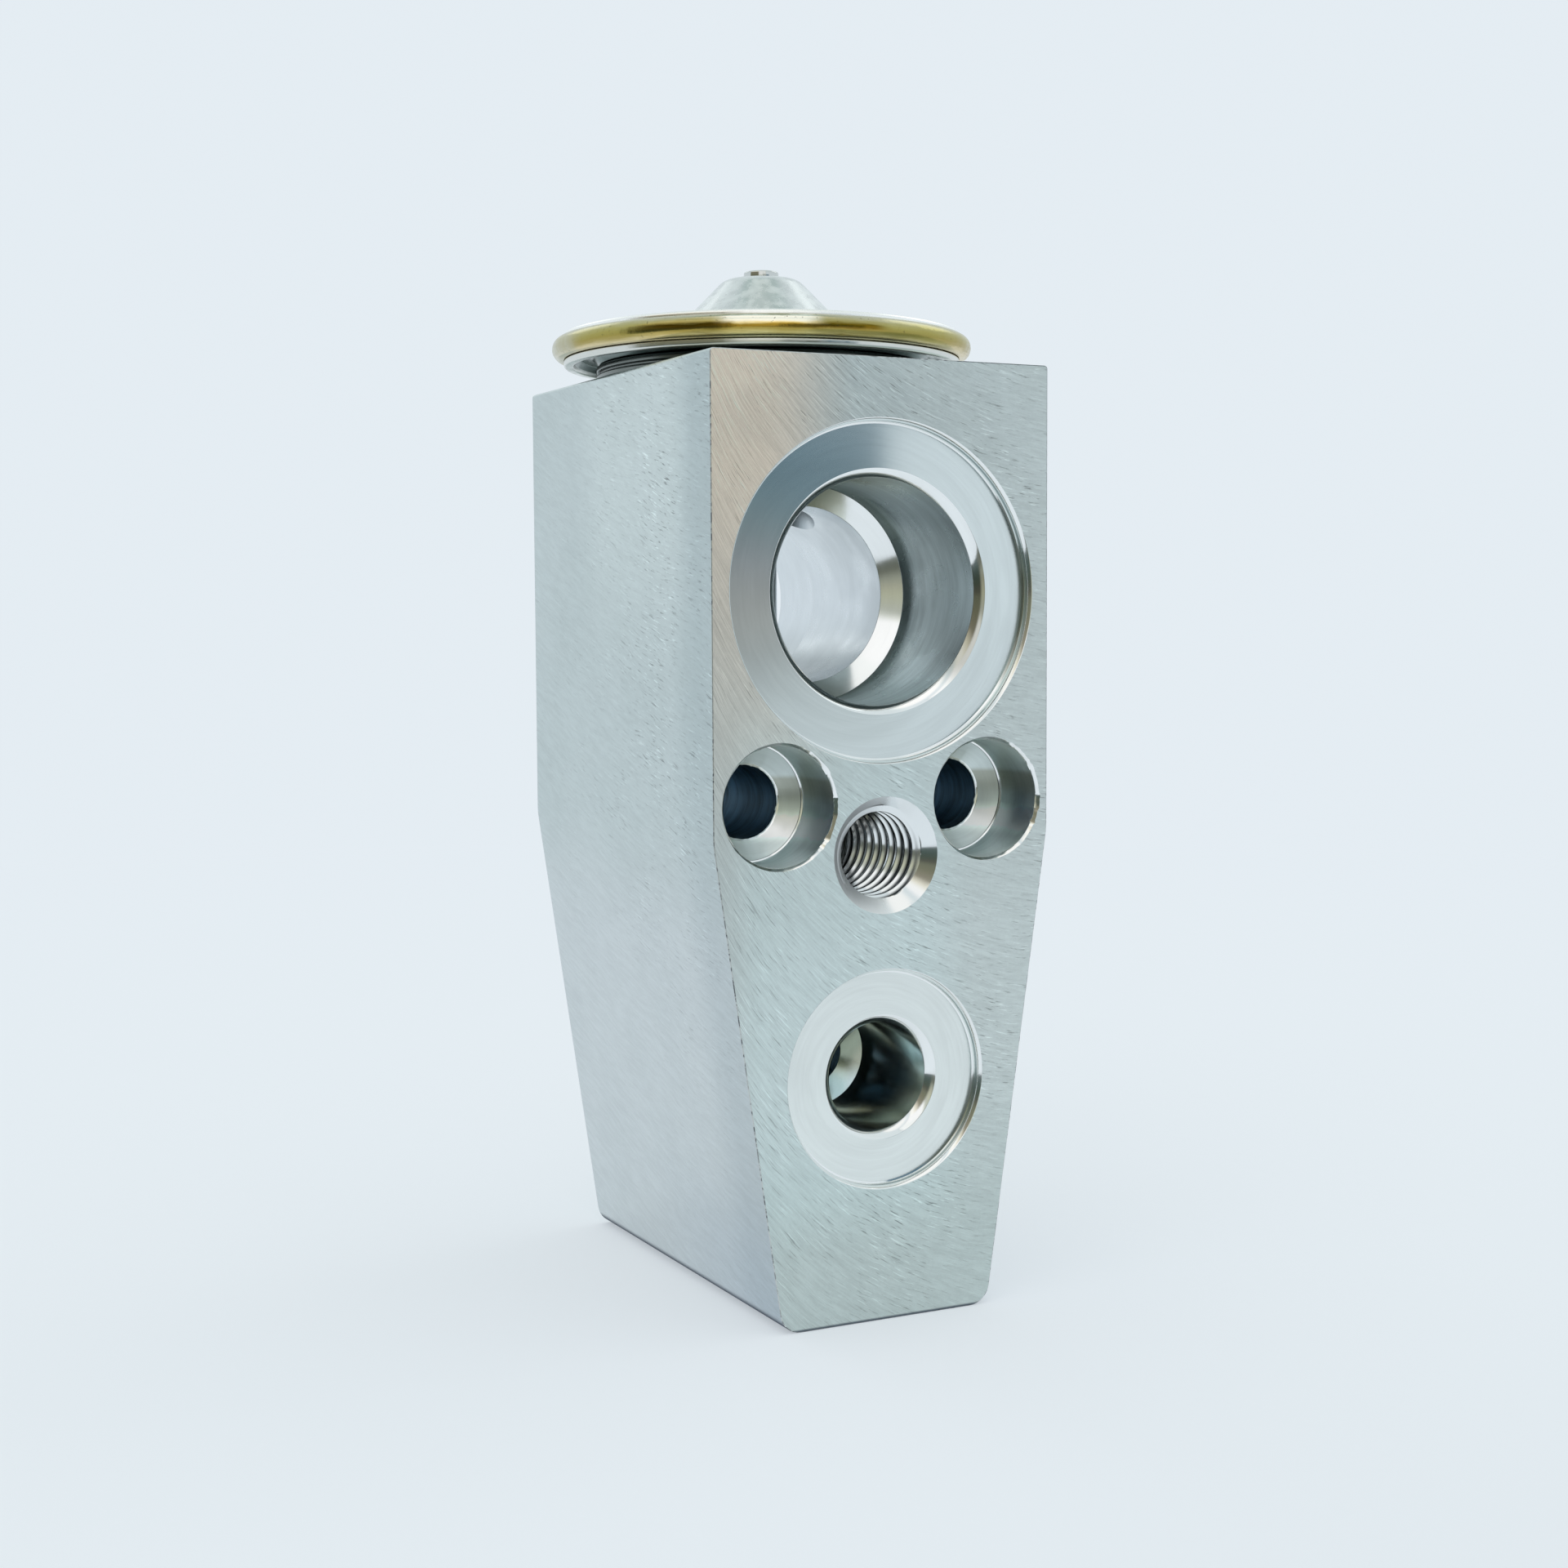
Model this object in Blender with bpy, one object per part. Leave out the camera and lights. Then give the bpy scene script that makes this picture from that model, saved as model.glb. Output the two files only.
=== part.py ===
"""Block-type thermostatic expansion valve for a car air conditioner.

A machined aluminium block carries a liquid passage low down and a suction passage high up.
A diaphragm capsule screwed into the top drives a thin rod through the suction passage and the
throttle orifice onto a ball, which a coil spring and an adjusting screw hold shut from below.

Frame: origin under the middle of the whole outline, +Z up, the hose side with the large and the
small port faces -Y, the evaporator side faces +Y. All lengths are metres, written in millimetres.
"""

import math

import bmesh
import bpy
from mathutils import Matrix, Vector

MM = 0.001

# Machined block
BODY_WIDTH = 30.0 * MM
BODY_DEPTH = 38.1 * MM
BODY_HEIGHT = 76.2 * MM
TAPER_HEIGHT = 38.7 * MM
FOOT_WIDTH = 18.6 * MM
SHOULDER_BLEND = 8.0 * MM
FOOT_ROUNDING = 1.8 * MM
TOP_ROUNDING = 0.3 * MM
EDGE_BREAK = 0.15 * MM

# Valve axis, measured back from the hose side
AXIS_FROM_FRONT = 21.85 * MM

# Suction passage, right through the block
SUCTION_HEIGHT = 58.0 * MM
SUCTION_SPOT_RADIUS = 13.5 * MM
SUCTION_PORT_RADIUS = 9.0 * MM
SUCTION_PORT_DEPTH = 13.1 * MM
SUCTION_BACK_PORT_DEPTH = 10.4 * MM
SUCTION_BORE_RADIUS = 7.35 * MM

# Liquid inlet on the hose side
INLET_HEIGHT = 19.4 * MM
INLET_SPOT_RADIUS = 8.8 * MM
INLET_PORT_RADIUS = 4.35 * MM
INLET_PORT_DEPTH = 12.1 * MM
INLET_BORE_RADIUS = 2.75 * MM

# Outlet on the evaporator side
OUTLET_HEIGHT = 29.0 * MM
OUTLET_SPOT_RADIUS = 9.3 * MM
OUTLET_PORT_RADIUS = 6.0 * MM
OUTLET_PORT_DEPTH = 12.1 * MM
OUTLET_BORE_RADIUS = 3.4 * MM
OUTLET_BORE_PAST_AXIS = 2.4 * MM

# Form that all ports share
SPOT_DEPTH = 0.95 * MM
SPOT_LIP_WIDTH = 0.2 * MM
SPOT_LIP_DEPTH = 0.37 * MM
SPOT_FOOT_ROUNDING = 0.16 * MM
PORT_CHAMFER = 0.65 * MM
DRILL_POINT_HALF_ANGLE = math.radians(59.0)

# Two through bolts beside the valve axis
BOLT_HEIGHT = 41.4 * MM
BOLT_SPACING = 18.6 * MM
BOLT_HOLE_RADIUS = 2.9 * MM
BOLT_HEAD_RADIUS = 4.75 * MM
BOLT_HEAD_DEPTH = 5.5 * MM
BOLT_EDGE_CHAMFER = 0.12 * MM

# Tapped hole for the pipe plate
STUD_HEIGHT = 37.25 * MM
STUD_RADIUS = 4.0 * MM
STUD_DEPTH = 15.0 * MM
STUD_COUNTERSINK = 0.66 * MM

# Valve chamber, seat and rod bore, up the valve axis
ADJUSTER_THREAD_RADIUS = 6.0 * MM
ADJUSTER_THREAD_HEIGHT = 5.9 * MM
ADJUSTER_MOUTH_CHAMFER = 0.5 * MM
CHAMBER_RADIUS = 5.5 * MM
CHAMBER_TOP = 21.4 * MM
SEAT_CONE_RADIUS = 2.5 * MM
SEAT_CONE_HEIGHT = 0.5 * MM
ORIFICE_RADIUS = 1.75 * MM
ORIFICE_LENGTH = 1.5 * MM
THROTTLE_RADIUS = 2.75 * MM
ROD_SEAL_POCKET_RADIUS = 2.8 * MM
ROD_SEAL_POCKET_FLOOR = 46.0 * MM
SENSING_HOLE_RADIUS = 4.5 * MM

# Threaded pocket for the capsule
CAPSULE_THREAD_RADIUS = 11.0 * MM
CAPSULE_POCKET_DEPTH = 6.5 * MM
CAPSULE_SEAL_CHAMFER = 2.3 * MM

# Clearances
SEAT_GAP = 0.1 * MM
THREAD_GAP = 0.1 * MM
SLIDE_GAP = 0.05 * MM
SEAL_GAP = 0.07 * MM

# Valve train and its travel
VALVE_LIFT = 0.8 * MM
ROD_RADIUS = 1.2 * MM
ROD_END_CHAMFER = 0.2 * MM
BALL_RADIUS = 2.3 * MM
HOLDER_CUP_WALL = 0.9 * MM
HOLDER_CUP_BELOW_CENTRE = 0.25 * MM
HOLDER_FLANGE_RADIUS = 4.4 * MM
HOLDER_FLANGE_THICKNESS = 1.0 * MM
HOLDER_FLOOR_THICKNESS = 0.7 * MM
HOLDER_SPIGOT_RADIUS = 2.6 * MM
HOLDER_SPIGOT_LENGTH = 2.2 * MM
DAMPER_THICKNESS = 0.25 * MM
DAMPER_LEG_LENGTH = 3.4 * MM
DAMPER_LEG_ANGLE = math.radians(40.0)
DAMPER_LEG_COUNT = 3
DAMPER_WALL_GAP = 0.15 * MM

# Valve spring
SPRING_WIRE_RADIUS = 0.55 * MM
SPRING_COIL_RADIUS = 3.55 * MM
SPRING_TURNS = 5.5
SPRING_CLOSED_TURNS = 0.75

# Adjusting screw and its ring
SCREW_SINK = 1.2 * MM
SCREW_THREAD_LENGTH = 3.4 * MM
SCREW_NECK_LENGTH = 3.8 * MM
SCREW_SPIGOT_RADIUS = 2.6 * MM
SCREW_SPIGOT_LENGTH = 1.6 * MM
SCREW_CHAMFER = 0.3 * MM
SCREW_GROOVE_WIDTH = 1.6 * MM
SCREW_GROOVE_DEPTH = 0.95 * MM
SCREW_HEX_ACROSS_FLATS = 6.0 * MM
SCREW_HEX_DEPTH = 3.2 * MM
SCREW_HEX_POINT_SHARE = 0.5

# Rings of round section
ELEMENT_RING_SECTION = 0.62 * MM
ROD_RING_SECTION = 0.68 * MM
RETAINER_HEIGHT = 1.5 * MM
RETAINER_CHAMFER = 0.3 * MM

# Diaphragm capsule
CAPSULE_RADIUS = 18.0 * MM
BOSS_FLANGE_INSET = 2.85 * MM
BOSS_FLANGE_THICKNESS = 1.25 * MM
BOSS_GROOVE_DEPTH = 0.3 * MM
BOSS_GROOVE_WIDTH = 0.3 * MM
BOSS_COLLAR_WALL = 0.5 * MM
BOSS_BODY_LENGTH = 6.0 * MM
BOSS_LEDGE_WIDTH = 1.5 * MM
LOWER_COVER_THICKNESS = 1.25 * MM
LOWER_COVER_RIM_DROP = 0.15 * MM
LOWER_COVER_RIM_WIDTH = 0.8 * MM
DIAPHRAGM_THICKNESS = 0.15 * MM
DIAPHRAGM_WAVE = 0.07 * MM
DIAPHRAGM_WAVE_COUNT = 3
DIAPHRAGM_WAVE_INSET = 0.2 * MM
UPPER_COVER_THICKNESS = 0.9 * MM
UPPER_COVER_FLANGE_WIDTH = 1.7 * MM
UPPER_COVER_STEP = 0.4 * MM
UPPER_COVER_STEP_WIDTH = 1.6 * MM
UPPER_COVER_DOME = 0.6 * MM
CONE_RADIUS = 6.9 * MM
CONE_TOP_RADIUS = 2.7 * MM
CONE_TOP_ROUNDING = 0.9 * MM
CONE_FOOT_ROUNDING = 0.8 * MM
CONE_SHRINK = 0.4 * MM
WELD_WIDTH = 0.95 * MM
WELD_BOTTOM_ABOVE_RIM = 0.6 * MM
WELD_HEIGHT = 1.65 * MM
WELD_ROUNDING = 0.42 * MM
PLUG_RADIUS = 1.5 * MM
PLUG_HEIGHT = 0.6 * MM
PLUG_STEM_RADIUS = 0.9 * MM
PLUG_STEM_LENGTH = 1.5 * MM
PLUG_EDGE_CHAMFER = 0.12 * MM
PLUG_SEAT_GAP = 0.05 * MM

# Diaphragm stop
STOP_RADIUS = 8.6 * MM
STOP_SIDE_GAP = 0.4 * MM
STOP_THICKNESS = 2.4 * MM
STOP_HUB_RADIUS = 3.6 * MM
STOP_HUB_LENGTH = 4.6 * MM
STOP_EDGE_CHAMFER = 0.4 * MM
ROD_SOCKET_DEPTH = 3.6 * MM

# Facets of round forms
LARGE_SEGMENTS = 48
CAPSULE_SEGMENTS = 36
PORT_SEGMENTS = 32
SMALL_SEGMENTS = 20
RING_SIDES = 6
WIRE_SIDES = 6
WIRE_STEPS_PER_TURN = 12
WAVE_STEPS = 3
ARC_STEPS = 3
HEXAGON_SIDES = 6
SMOOTH_ANGLE = math.radians(32.0)
CUT_OVERRUN = 1.0 * MM

# Places that follow from the sizes above
OUTLINE_DEPTH = AXIS_FROM_FRONT + CAPSULE_RADIUS
FRONT_Y = -0.5 * max(OUTLINE_DEPTH, BODY_DEPTH)
BACK_Y = FRONT_Y + BODY_DEPTH
AXIS_Y = FRONT_Y + AXIS_FROM_FRONT

SEAT_HEIGHT = CHAMBER_TOP + SEAT_CONE_HEIGHT
ORIFICE_TOP = SEAT_HEIGHT + ORIFICE_LENGTH
ROD_GUIDE_RADIUS = ROD_RADIUS + SLIDE_GAP

CAPSULE_FLANGE_RADIUS = CAPSULE_RADIUS - WELD_WIDTH
BOSS_FLANGE_RADIUS = CAPSULE_FLANGE_RADIUS - BOSS_FLANGE_INSET
STOP_BORE_RADIUS = STOP_RADIUS + STOP_SIDE_GAP
COLLAR_RADIUS = STOP_BORE_RADIUS + BOSS_COLLAR_WALL
BOSS_FLANGE_BOTTOM = BODY_HEIGHT + SEAT_GAP
BOSS_FLANGE_TOP = BOSS_FLANGE_BOTTOM + BOSS_FLANGE_THICKNESS
LOWER_COVER_BOTTOM = BOSS_FLANGE_TOP + SEAT_GAP
LOWER_COVER_TOP = LOWER_COVER_BOTTOM + LOWER_COVER_THICKNESS
DIAPHRAGM_BOTTOM = LOWER_COVER_TOP + SEAT_GAP
DIAPHRAGM_TOP = DIAPHRAGM_BOTTOM + DIAPHRAGM_THICKNESS
UPPER_COVER_BOTTOM = DIAPHRAGM_TOP + SEAT_GAP
UPPER_COVER_TOP = UPPER_COVER_BOTTOM + UPPER_COVER_THICKNESS
RIM_BOTTOM = LOWER_COVER_BOTTOM - LOWER_COVER_RIM_DROP
STOP_TOP = DIAPHRAGM_BOTTOM - SEAT_GAP
STOP_BOTTOM = STOP_TOP - STOP_THICKNESS
STOP_HUB_BOTTOM = STOP_BOTTOM - STOP_HUB_LENGTH
ROD_TOP = STOP_HUB_BOTTOM + ROD_SOCKET_DEPTH - SEAT_GAP

BALL_HEIGHT = SEAT_HEIGHT - math.sqrt((BALL_RADIUS + SEAT_GAP) ** 2 - ORIFICE_RADIUS ** 2)
ROD_BOTTOM = BALL_HEIGHT + BALL_RADIUS + SEAT_GAP
HOLDER_CUP_FLOOR = BALL_HEIGHT - BALL_RADIUS - SEAT_GAP
HOLDER_FLANGE_TOP = HOLDER_CUP_FLOOR - HOLDER_FLOOR_THICKNESS + HOLDER_FLANGE_THICKNESS
HOLDER_FLANGE_BOTTOM = HOLDER_FLANGE_TOP - HOLDER_FLANGE_THICKNESS
DAMPER_TOP = HOLDER_FLANGE_BOTTOM - SEAT_GAP
DAMPER_BOTTOM = DAMPER_TOP - DAMPER_THICKNESS
SCREW_SHOULDER = SCREW_SINK + SCREW_THREAD_LENGTH
SCREW_TOP = SCREW_SHOULDER + SCREW_NECK_LENGTH
SCREW_GROOVE_MIDDLE = SCREW_SHOULDER + 0.5 * SCREW_NECK_LENGTH
SCREW_NECK_RADIUS = CHAMBER_RADIUS - THREAD_GAP
SPRING_BOTTOM = SCREW_TOP + SEAT_GAP
SPRING_TOP = DAMPER_BOTTOM - SEAT_GAP

ALONG_Z = Matrix.Identity(4)
ALONG_Y = Matrix.Rotation(math.radians(-90.0), 4, "X")
AGAINST_Y = Matrix.Rotation(math.radians(90.0), 4, "X")


def clear_scene():
    """Removes every object that the file opens with."""
    for item in list(bpy.data.objects):
        bpy.data.objects.remove(item, do_unlink=True)


def make_material(name, colour, roughness, metallic=1.0):
    """Returns a Principled material of one plain colour."""
    material = bpy.data.materials.new(name)
    material.use_nodes = True
    shader = material.node_tree.nodes["Principled BSDF"]
    shader.inputs["Base Color"].default_value = (*colour, 1.0)
    shader.inputs["Roughness"].default_value = roughness
    shader.inputs["Metallic"].default_value = metallic
    material.diffuse_color = (*colour, 1.0)
    return material


def filleted(corners, radii):
    """Returns a closed outline whose corners are rounded to the given radii.

    Each corner is (across, up). A radius of zero keeps the corner sharp.
    """
    outline = []
    count = len(corners)
    for index, radius in enumerate(radii):
        corner = Vector(corners[index])
        if radius <= 0.0:
            outline.append(tuple(corner))
            continue
        before = (Vector(corners[index - 1]) - corner).normalized()
        after = (Vector(corners[(index + 1) % count]) - corner).normalized()
        half = 0.5 * before.angle(after)
        centre = corner + (before + after).normalized() * (radius / math.sin(half))
        start = corner + before * (radius / math.tan(half)) - centre
        end = corner + after * (radius / math.tan(half)) - centre
        sweep = start.angle_signed(end)
        for step in range(ARC_STEPS + 1):
            turn = Matrix.Rotation(-sweep * step / ARC_STEPS, 2)
            outline.append(tuple(centre + turn @ start))
    return outline


def finish_mesh(shape, name, place):
    """Turns a bmesh into a mesh with outward faces, moved to its place."""
    bmesh.ops.recalc_face_normals(shape, faces=shape.faces)
    mesh = bpy.data.meshes.new(name)
    shape.to_mesh(mesh)
    shape.free()
    mesh.transform(place)
    return mesh


def add_piece(name, mesh, material, origin=(0.0, 0.0, 0.0)):
    """Adds a named sub-part whose own origin lies at the given point."""
    mesh.transform(Matrix.Translation(-Vector(origin)))
    mesh.materials.append(material)
    mesh.shade_smooth()
    mesh.set_sharp_from_angle(angle=SMOOTH_ANGLE)
    piece = bpy.data.objects.new(name, mesh)
    piece.location = origin
    bpy.context.scene.collection.objects.link(piece)
    return piece


def cut_away(piece, name, mesh):
    """Cuts a shape given in world coordinates out of a piece."""
    cutter = bpy.data.objects.new(name, mesh)
    cutter.hide_render = True
    cutter.display_type = "WIRE"
    bpy.context.scene.collection.objects.link(cutter)
    boolean = piece.modifiers.new(name, "BOOLEAN")
    boolean.operation = "DIFFERENCE"
    boolean.solver = "EXACT"
    boolean.object = cutter


def turned(name, outline, place, segments):
    """Turns a closed outline of (radius, height) points about its axis.

    Points at radius zero meet in one pole, so an outline that starts and ends on the axis is a
    solid bar, and one that stays off the axis is a ring.
    """
    shape = bmesh.new()
    rings = []
    for radius, height in outline:
        if radius <= 0.0:
            rings.append([shape.verts.new((0.0, 0.0, height))])
            continue
        ring = []
        for step in range(segments):
            angle = math.tau * step / segments
            ring.append(shape.verts.new((radius * math.cos(angle), radius * math.sin(angle), height)))
        rings.append(ring)
    for lower, upper in zip(rings, rings[1:] + rings[:1]):
        if len(lower) == 1 and len(upper) == 1:
            continue
        for step in range(segments):
            after = (step + 1) % segments
            corners = [lower[step % len(lower)], lower[after % len(lower)]]
            corners += [upper[after % len(upper)], upper[step % len(upper)]]
            shape.faces.new(list(dict.fromkeys(corners)))
    return finish_mesh(shape, name, place)


def extruded(name, outline, depth, place):
    """Extrudes a closed outline in the XY plane by a depth along Z."""
    shape = bmesh.new()
    face = shape.faces.new([shape.verts.new((across, up, 0.0)) for across, up in outline])
    grown = bmesh.ops.extrude_face_region(shape, geom=[face])
    tops = [item for item in grown["geom"] if isinstance(item, bmesh.types.BMVert)]
    bmesh.ops.translate(shape, verts=tops, vec=(0.0, 0.0, depth))
    return finish_mesh(shape, name, place)


def ring_of_round_section(name, mean_radius, section_radius, centre):
    """Returns a ring of round section lying flat at its centre."""
    outline = []
    for step in range(RING_SIDES):
        angle = math.tau * step / RING_SIDES
        outline.append((mean_radius + section_radius * math.cos(angle), section_radius * math.sin(angle)))
    return turned(name, outline, Matrix.Translation(centre), PORT_SEGMENTS)


def on_axis(height=0.0):
    """Returns the point of the valve axis at a height."""
    return (0.0, AXIS_Y, height)


def axis_place():
    """Returns the placing of a shape turned about the valve axis."""
    return Matrix.Translation(on_axis())


def drill_point(radius, end_radius):
    """Returns how much further a drill point goes while it narrows to a radius."""
    return (radius - end_radius) / math.tan(DRILL_POINT_HALF_ANGLE)


def port_mouth(spot_radius, port_radius):
    """Returns the outline of a spot face and chamfered port mouth, by depth under the face."""
    wall_radius = spot_radius - SPOT_LIP_WIDTH
    mouth = [
        (0.0, -CUT_OVERRUN),
        (spot_radius, -CUT_OVERRUN),
        (spot_radius, 0.0),
        (wall_radius, SPOT_LIP_DEPTH),
        (wall_radius, SPOT_DEPTH - SPOT_FOOT_ROUNDING),
        (wall_radius - SPOT_FOOT_ROUNDING, SPOT_DEPTH),
        (port_radius + PORT_CHAMFER, SPOT_DEPTH),
        (port_radius, SPOT_DEPTH + PORT_CHAMFER),
    ]
    return mouth


def suction_cut():
    """Returns the suction passage: a port at each side and a narrower bore between them."""
    narrowing = drill_point(SUCTION_PORT_RADIUS, SUCTION_BORE_RADIUS)
    front = port_mouth(SUCTION_SPOT_RADIUS, SUCTION_PORT_RADIUS)
    front.append((SUCTION_PORT_RADIUS, SUCTION_PORT_DEPTH))
    front.append((SUCTION_BORE_RADIUS, SUCTION_PORT_DEPTH + narrowing))
    back = port_mouth(SUCTION_SPOT_RADIUS, SUCTION_PORT_RADIUS)
    back.append((SUCTION_PORT_RADIUS, SUCTION_BACK_PORT_DEPTH))
    back.append((SUCTION_BORE_RADIUS, SUCTION_BACK_PORT_DEPTH + narrowing))
    outline = front + [(radius, BODY_DEPTH - depth) for radius, depth in reversed(back)]
    place = Matrix.Translation((0.0, FRONT_Y, SUCTION_HEIGHT)) @ ALONG_Y
    return turned("suction_passage_cut", outline, place, LARGE_SEGMENTS)


def inlet_cut():
    """Returns the liquid inlet: a drilled port and a small bore that ends in the valve chamber."""
    outline = port_mouth(INLET_SPOT_RADIUS, INLET_PORT_RADIUS)
    outline.append((INLET_PORT_RADIUS, INLET_PORT_DEPTH))
    shoulder = INLET_PORT_DEPTH + drill_point(INLET_PORT_RADIUS, INLET_BORE_RADIUS)
    outline.append((INLET_BORE_RADIUS, shoulder))
    chamber_reach = AXIS_FROM_FRONT - 0.5 * CHAMBER_RADIUS
    outline.append((INLET_BORE_RADIUS, chamber_reach))
    outline.append((0.0, chamber_reach))
    place = Matrix.Translation((0.0, FRONT_Y, INLET_HEIGHT)) @ ALONG_Y
    return turned("liquid_inlet_cut", outline, place, PORT_SEGMENTS)


def outlet_cut():
    """Returns the outlet port at the evaporator side and its bore to the throttle passage."""
    outline = port_mouth(OUTLET_SPOT_RADIUS, OUTLET_PORT_RADIUS)
    outline.append((OUTLET_PORT_RADIUS, OUTLET_PORT_DEPTH))
    shoulder = OUTLET_PORT_DEPTH + drill_point(OUTLET_PORT_RADIUS, OUTLET_BORE_RADIUS)
    outline.append((OUTLET_BORE_RADIUS, shoulder))
    bore_end = BODY_DEPTH - AXIS_FROM_FRONT + OUTLET_BORE_PAST_AXIS
    outline.append((OUTLET_BORE_RADIUS, bore_end))
    outline.append((0.0, bore_end))
    place = Matrix.Translation((0.0, BACK_Y, OUTLET_HEIGHT)) @ AGAINST_Y
    return turned("outlet_cut", outline, place, PORT_SEGMENTS)


def bolt_cut(side):
    """Returns one counterbored bolt hole, right through the block."""
    cone_end = BOLT_HEAD_DEPTH + drill_point(BOLT_HEAD_RADIUS, BOLT_HOLE_RADIUS)
    outline = [
        (0.0, -CUT_OVERRUN),
        (BOLT_HEAD_RADIUS + BOLT_EDGE_CHAMFER, -CUT_OVERRUN),
        (BOLT_HEAD_RADIUS + BOLT_EDGE_CHAMFER, 0.0),
        (BOLT_HEAD_RADIUS, BOLT_EDGE_CHAMFER),
        (BOLT_HEAD_RADIUS, BOLT_HEAD_DEPTH),
        (BOLT_HOLE_RADIUS, cone_end),
        (BOLT_HOLE_RADIUS, BODY_DEPTH + CUT_OVERRUN),
        (0.0, BODY_DEPTH + CUT_OVERRUN),
    ]
    place = Matrix.Translation((side * 0.5 * BOLT_SPACING, FRONT_Y, BOLT_HEIGHT)) @ ALONG_Y
    return turned("bolt_hole_cut", outline, place, PORT_SEGMENTS)


def stud_cut():
    """Returns the tapped hole at its major diameter, with its countersink and drill point."""
    outline = [
        (0.0, -CUT_OVERRUN),
        (STUD_RADIUS + STUD_COUNTERSINK, -CUT_OVERRUN),
        (STUD_RADIUS + STUD_COUNTERSINK, 0.0),
        (STUD_RADIUS, STUD_COUNTERSINK),
        (STUD_RADIUS, STUD_DEPTH),
        (0.0, STUD_DEPTH + drill_point(STUD_RADIUS, 0.0)),
    ]
    place = Matrix.Translation((0.0, FRONT_Y, STUD_HEIGHT)) @ ALONG_Y
    return turned("stud_hole_cut", outline, place, PORT_SEGMENTS)


def lower_axis_cut():
    """Returns the bore from the foot up: adjuster thread, chamber, seat, orifice and throttle."""
    mouth_radius = ADJUSTER_THREAD_RADIUS + ADJUSTER_MOUTH_CHAMFER
    outline = [
        (0.0, -CUT_OVERRUN),
        (mouth_radius, -CUT_OVERRUN),
        (mouth_radius, 0.0),
        (ADJUSTER_THREAD_RADIUS, ADJUSTER_MOUTH_CHAMFER),
        (ADJUSTER_THREAD_RADIUS, ADJUSTER_THREAD_HEIGHT),
        (CHAMBER_RADIUS, ADJUSTER_THREAD_HEIGHT),
        (CHAMBER_RADIUS, CHAMBER_TOP),
        (SEAT_CONE_RADIUS, CHAMBER_TOP),
        (ORIFICE_RADIUS, SEAT_HEIGHT),
        (ORIFICE_RADIUS, ORIFICE_TOP),
        (THROTTLE_RADIUS, ORIFICE_TOP),
        (THROTTLE_RADIUS, OUTLET_HEIGHT),
        (0.0, OUTLET_HEIGHT),
    ]
    return turned("valve_chamber_cut", outline, axis_place(), PORT_SEGMENTS)


def rod_bore_cut():
    """Returns the rod's guide bore and the pocket for its ring under the suction passage."""
    outline = [
        (0.0, OUTLET_HEIGHT),
        (ROD_GUIDE_RADIUS, OUTLET_HEIGHT),
        (ROD_GUIDE_RADIUS, ROD_SEAL_POCKET_FLOOR),
        (ROD_SEAL_POCKET_RADIUS, ROD_SEAL_POCKET_FLOOR),
        (ROD_SEAL_POCKET_RADIUS, SUCTION_HEIGHT),
        (0.0, SUCTION_HEIGHT),
    ]
    return turned("rod_bore_cut", outline, axis_place(), SMALL_SEGMENTS)


def capsule_pocket_cut():
    """Returns the threaded pocket in the top and the hole that joins it to the suction passage."""
    pocket_floor = BODY_HEIGHT - CAPSULE_POCKET_DEPTH
    mouth_radius = CAPSULE_THREAD_RADIUS + CAPSULE_SEAL_CHAMFER
    outline = [
        (0.0, SUCTION_HEIGHT),
        (SENSING_HOLE_RADIUS, SUCTION_HEIGHT),
        (SENSING_HOLE_RADIUS, pocket_floor),
        (CAPSULE_THREAD_RADIUS, pocket_floor),
        (CAPSULE_THREAD_RADIUS, BODY_HEIGHT - CAPSULE_SEAL_CHAMFER),
        (mouth_radius, BODY_HEIGHT),
        (mouth_radius, BODY_HEIGHT + CUT_OVERRUN),
        (0.0, BODY_HEIGHT + CUT_OVERRUN),
    ]
    return turned("capsule_pocket_cut", outline, axis_place(), LARGE_SEGMENTS)


def body_outline():
    """Returns the block's outline seen from the hose side, tapering from the shoulders to the foot."""
    half = 0.5 * BODY_WIDTH
    foot = 0.5 * FOOT_WIDTH
    corners = [
        (-foot, 0.0),
        (foot, 0.0),
        (half, TAPER_HEIGHT),
        (half, BODY_HEIGHT),
        (-half, BODY_HEIGHT),
        (-half, TAPER_HEIGHT),
    ]
    radii = [FOOT_ROUNDING, FOOT_ROUNDING, SHOULDER_BLEND, TOP_ROUNDING, TOP_ROUNDING, SHOULDER_BLEND]
    return filleted(corners, radii)


def make_valve_body(material):
    """Builds the block and cuts every passage and hole into it."""
    place = Matrix.Translation((0.0, BACK_Y, 0.0)) @ Matrix.Rotation(math.radians(90.0), 4, "X")
    shape = bmesh.new()
    blank = extruded("valve_body", body_outline(), BODY_DEPTH, place)
    shape.from_mesh(blank)
    bpy.data.meshes.remove(blank)
    rim = []
    for edge in shape.edges:
        ends = [corner.co.y for corner in edge.verts]
        if abs(ends[0] - ends[1]) < 0.5 * EDGE_BREAK:
            rim.append(edge)
    bmesh.ops.bevel(shape, geom=rim, offset=EDGE_BREAK, segments=1, affect="EDGES")
    body = add_piece("valve_body", finish_mesh(shape, "valve_body", ALONG_Z), material)
    cut_away(body, "suction_passage_cut", suction_cut())
    cut_away(body, "liquid_inlet_cut", inlet_cut())
    cut_away(body, "outlet_cut", outlet_cut())
    cut_away(body, "left_bolt_cut", bolt_cut(-1.0))
    cut_away(body, "right_bolt_cut", bolt_cut(1.0))
    cut_away(body, "stud_hole_cut", stud_cut())
    cut_away(body, "valve_chamber_cut", lower_axis_cut())
    cut_away(body, "rod_bore_cut", rod_bore_cut())
    cut_away(body, "capsule_pocket_cut", capsule_pocket_cut())


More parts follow.
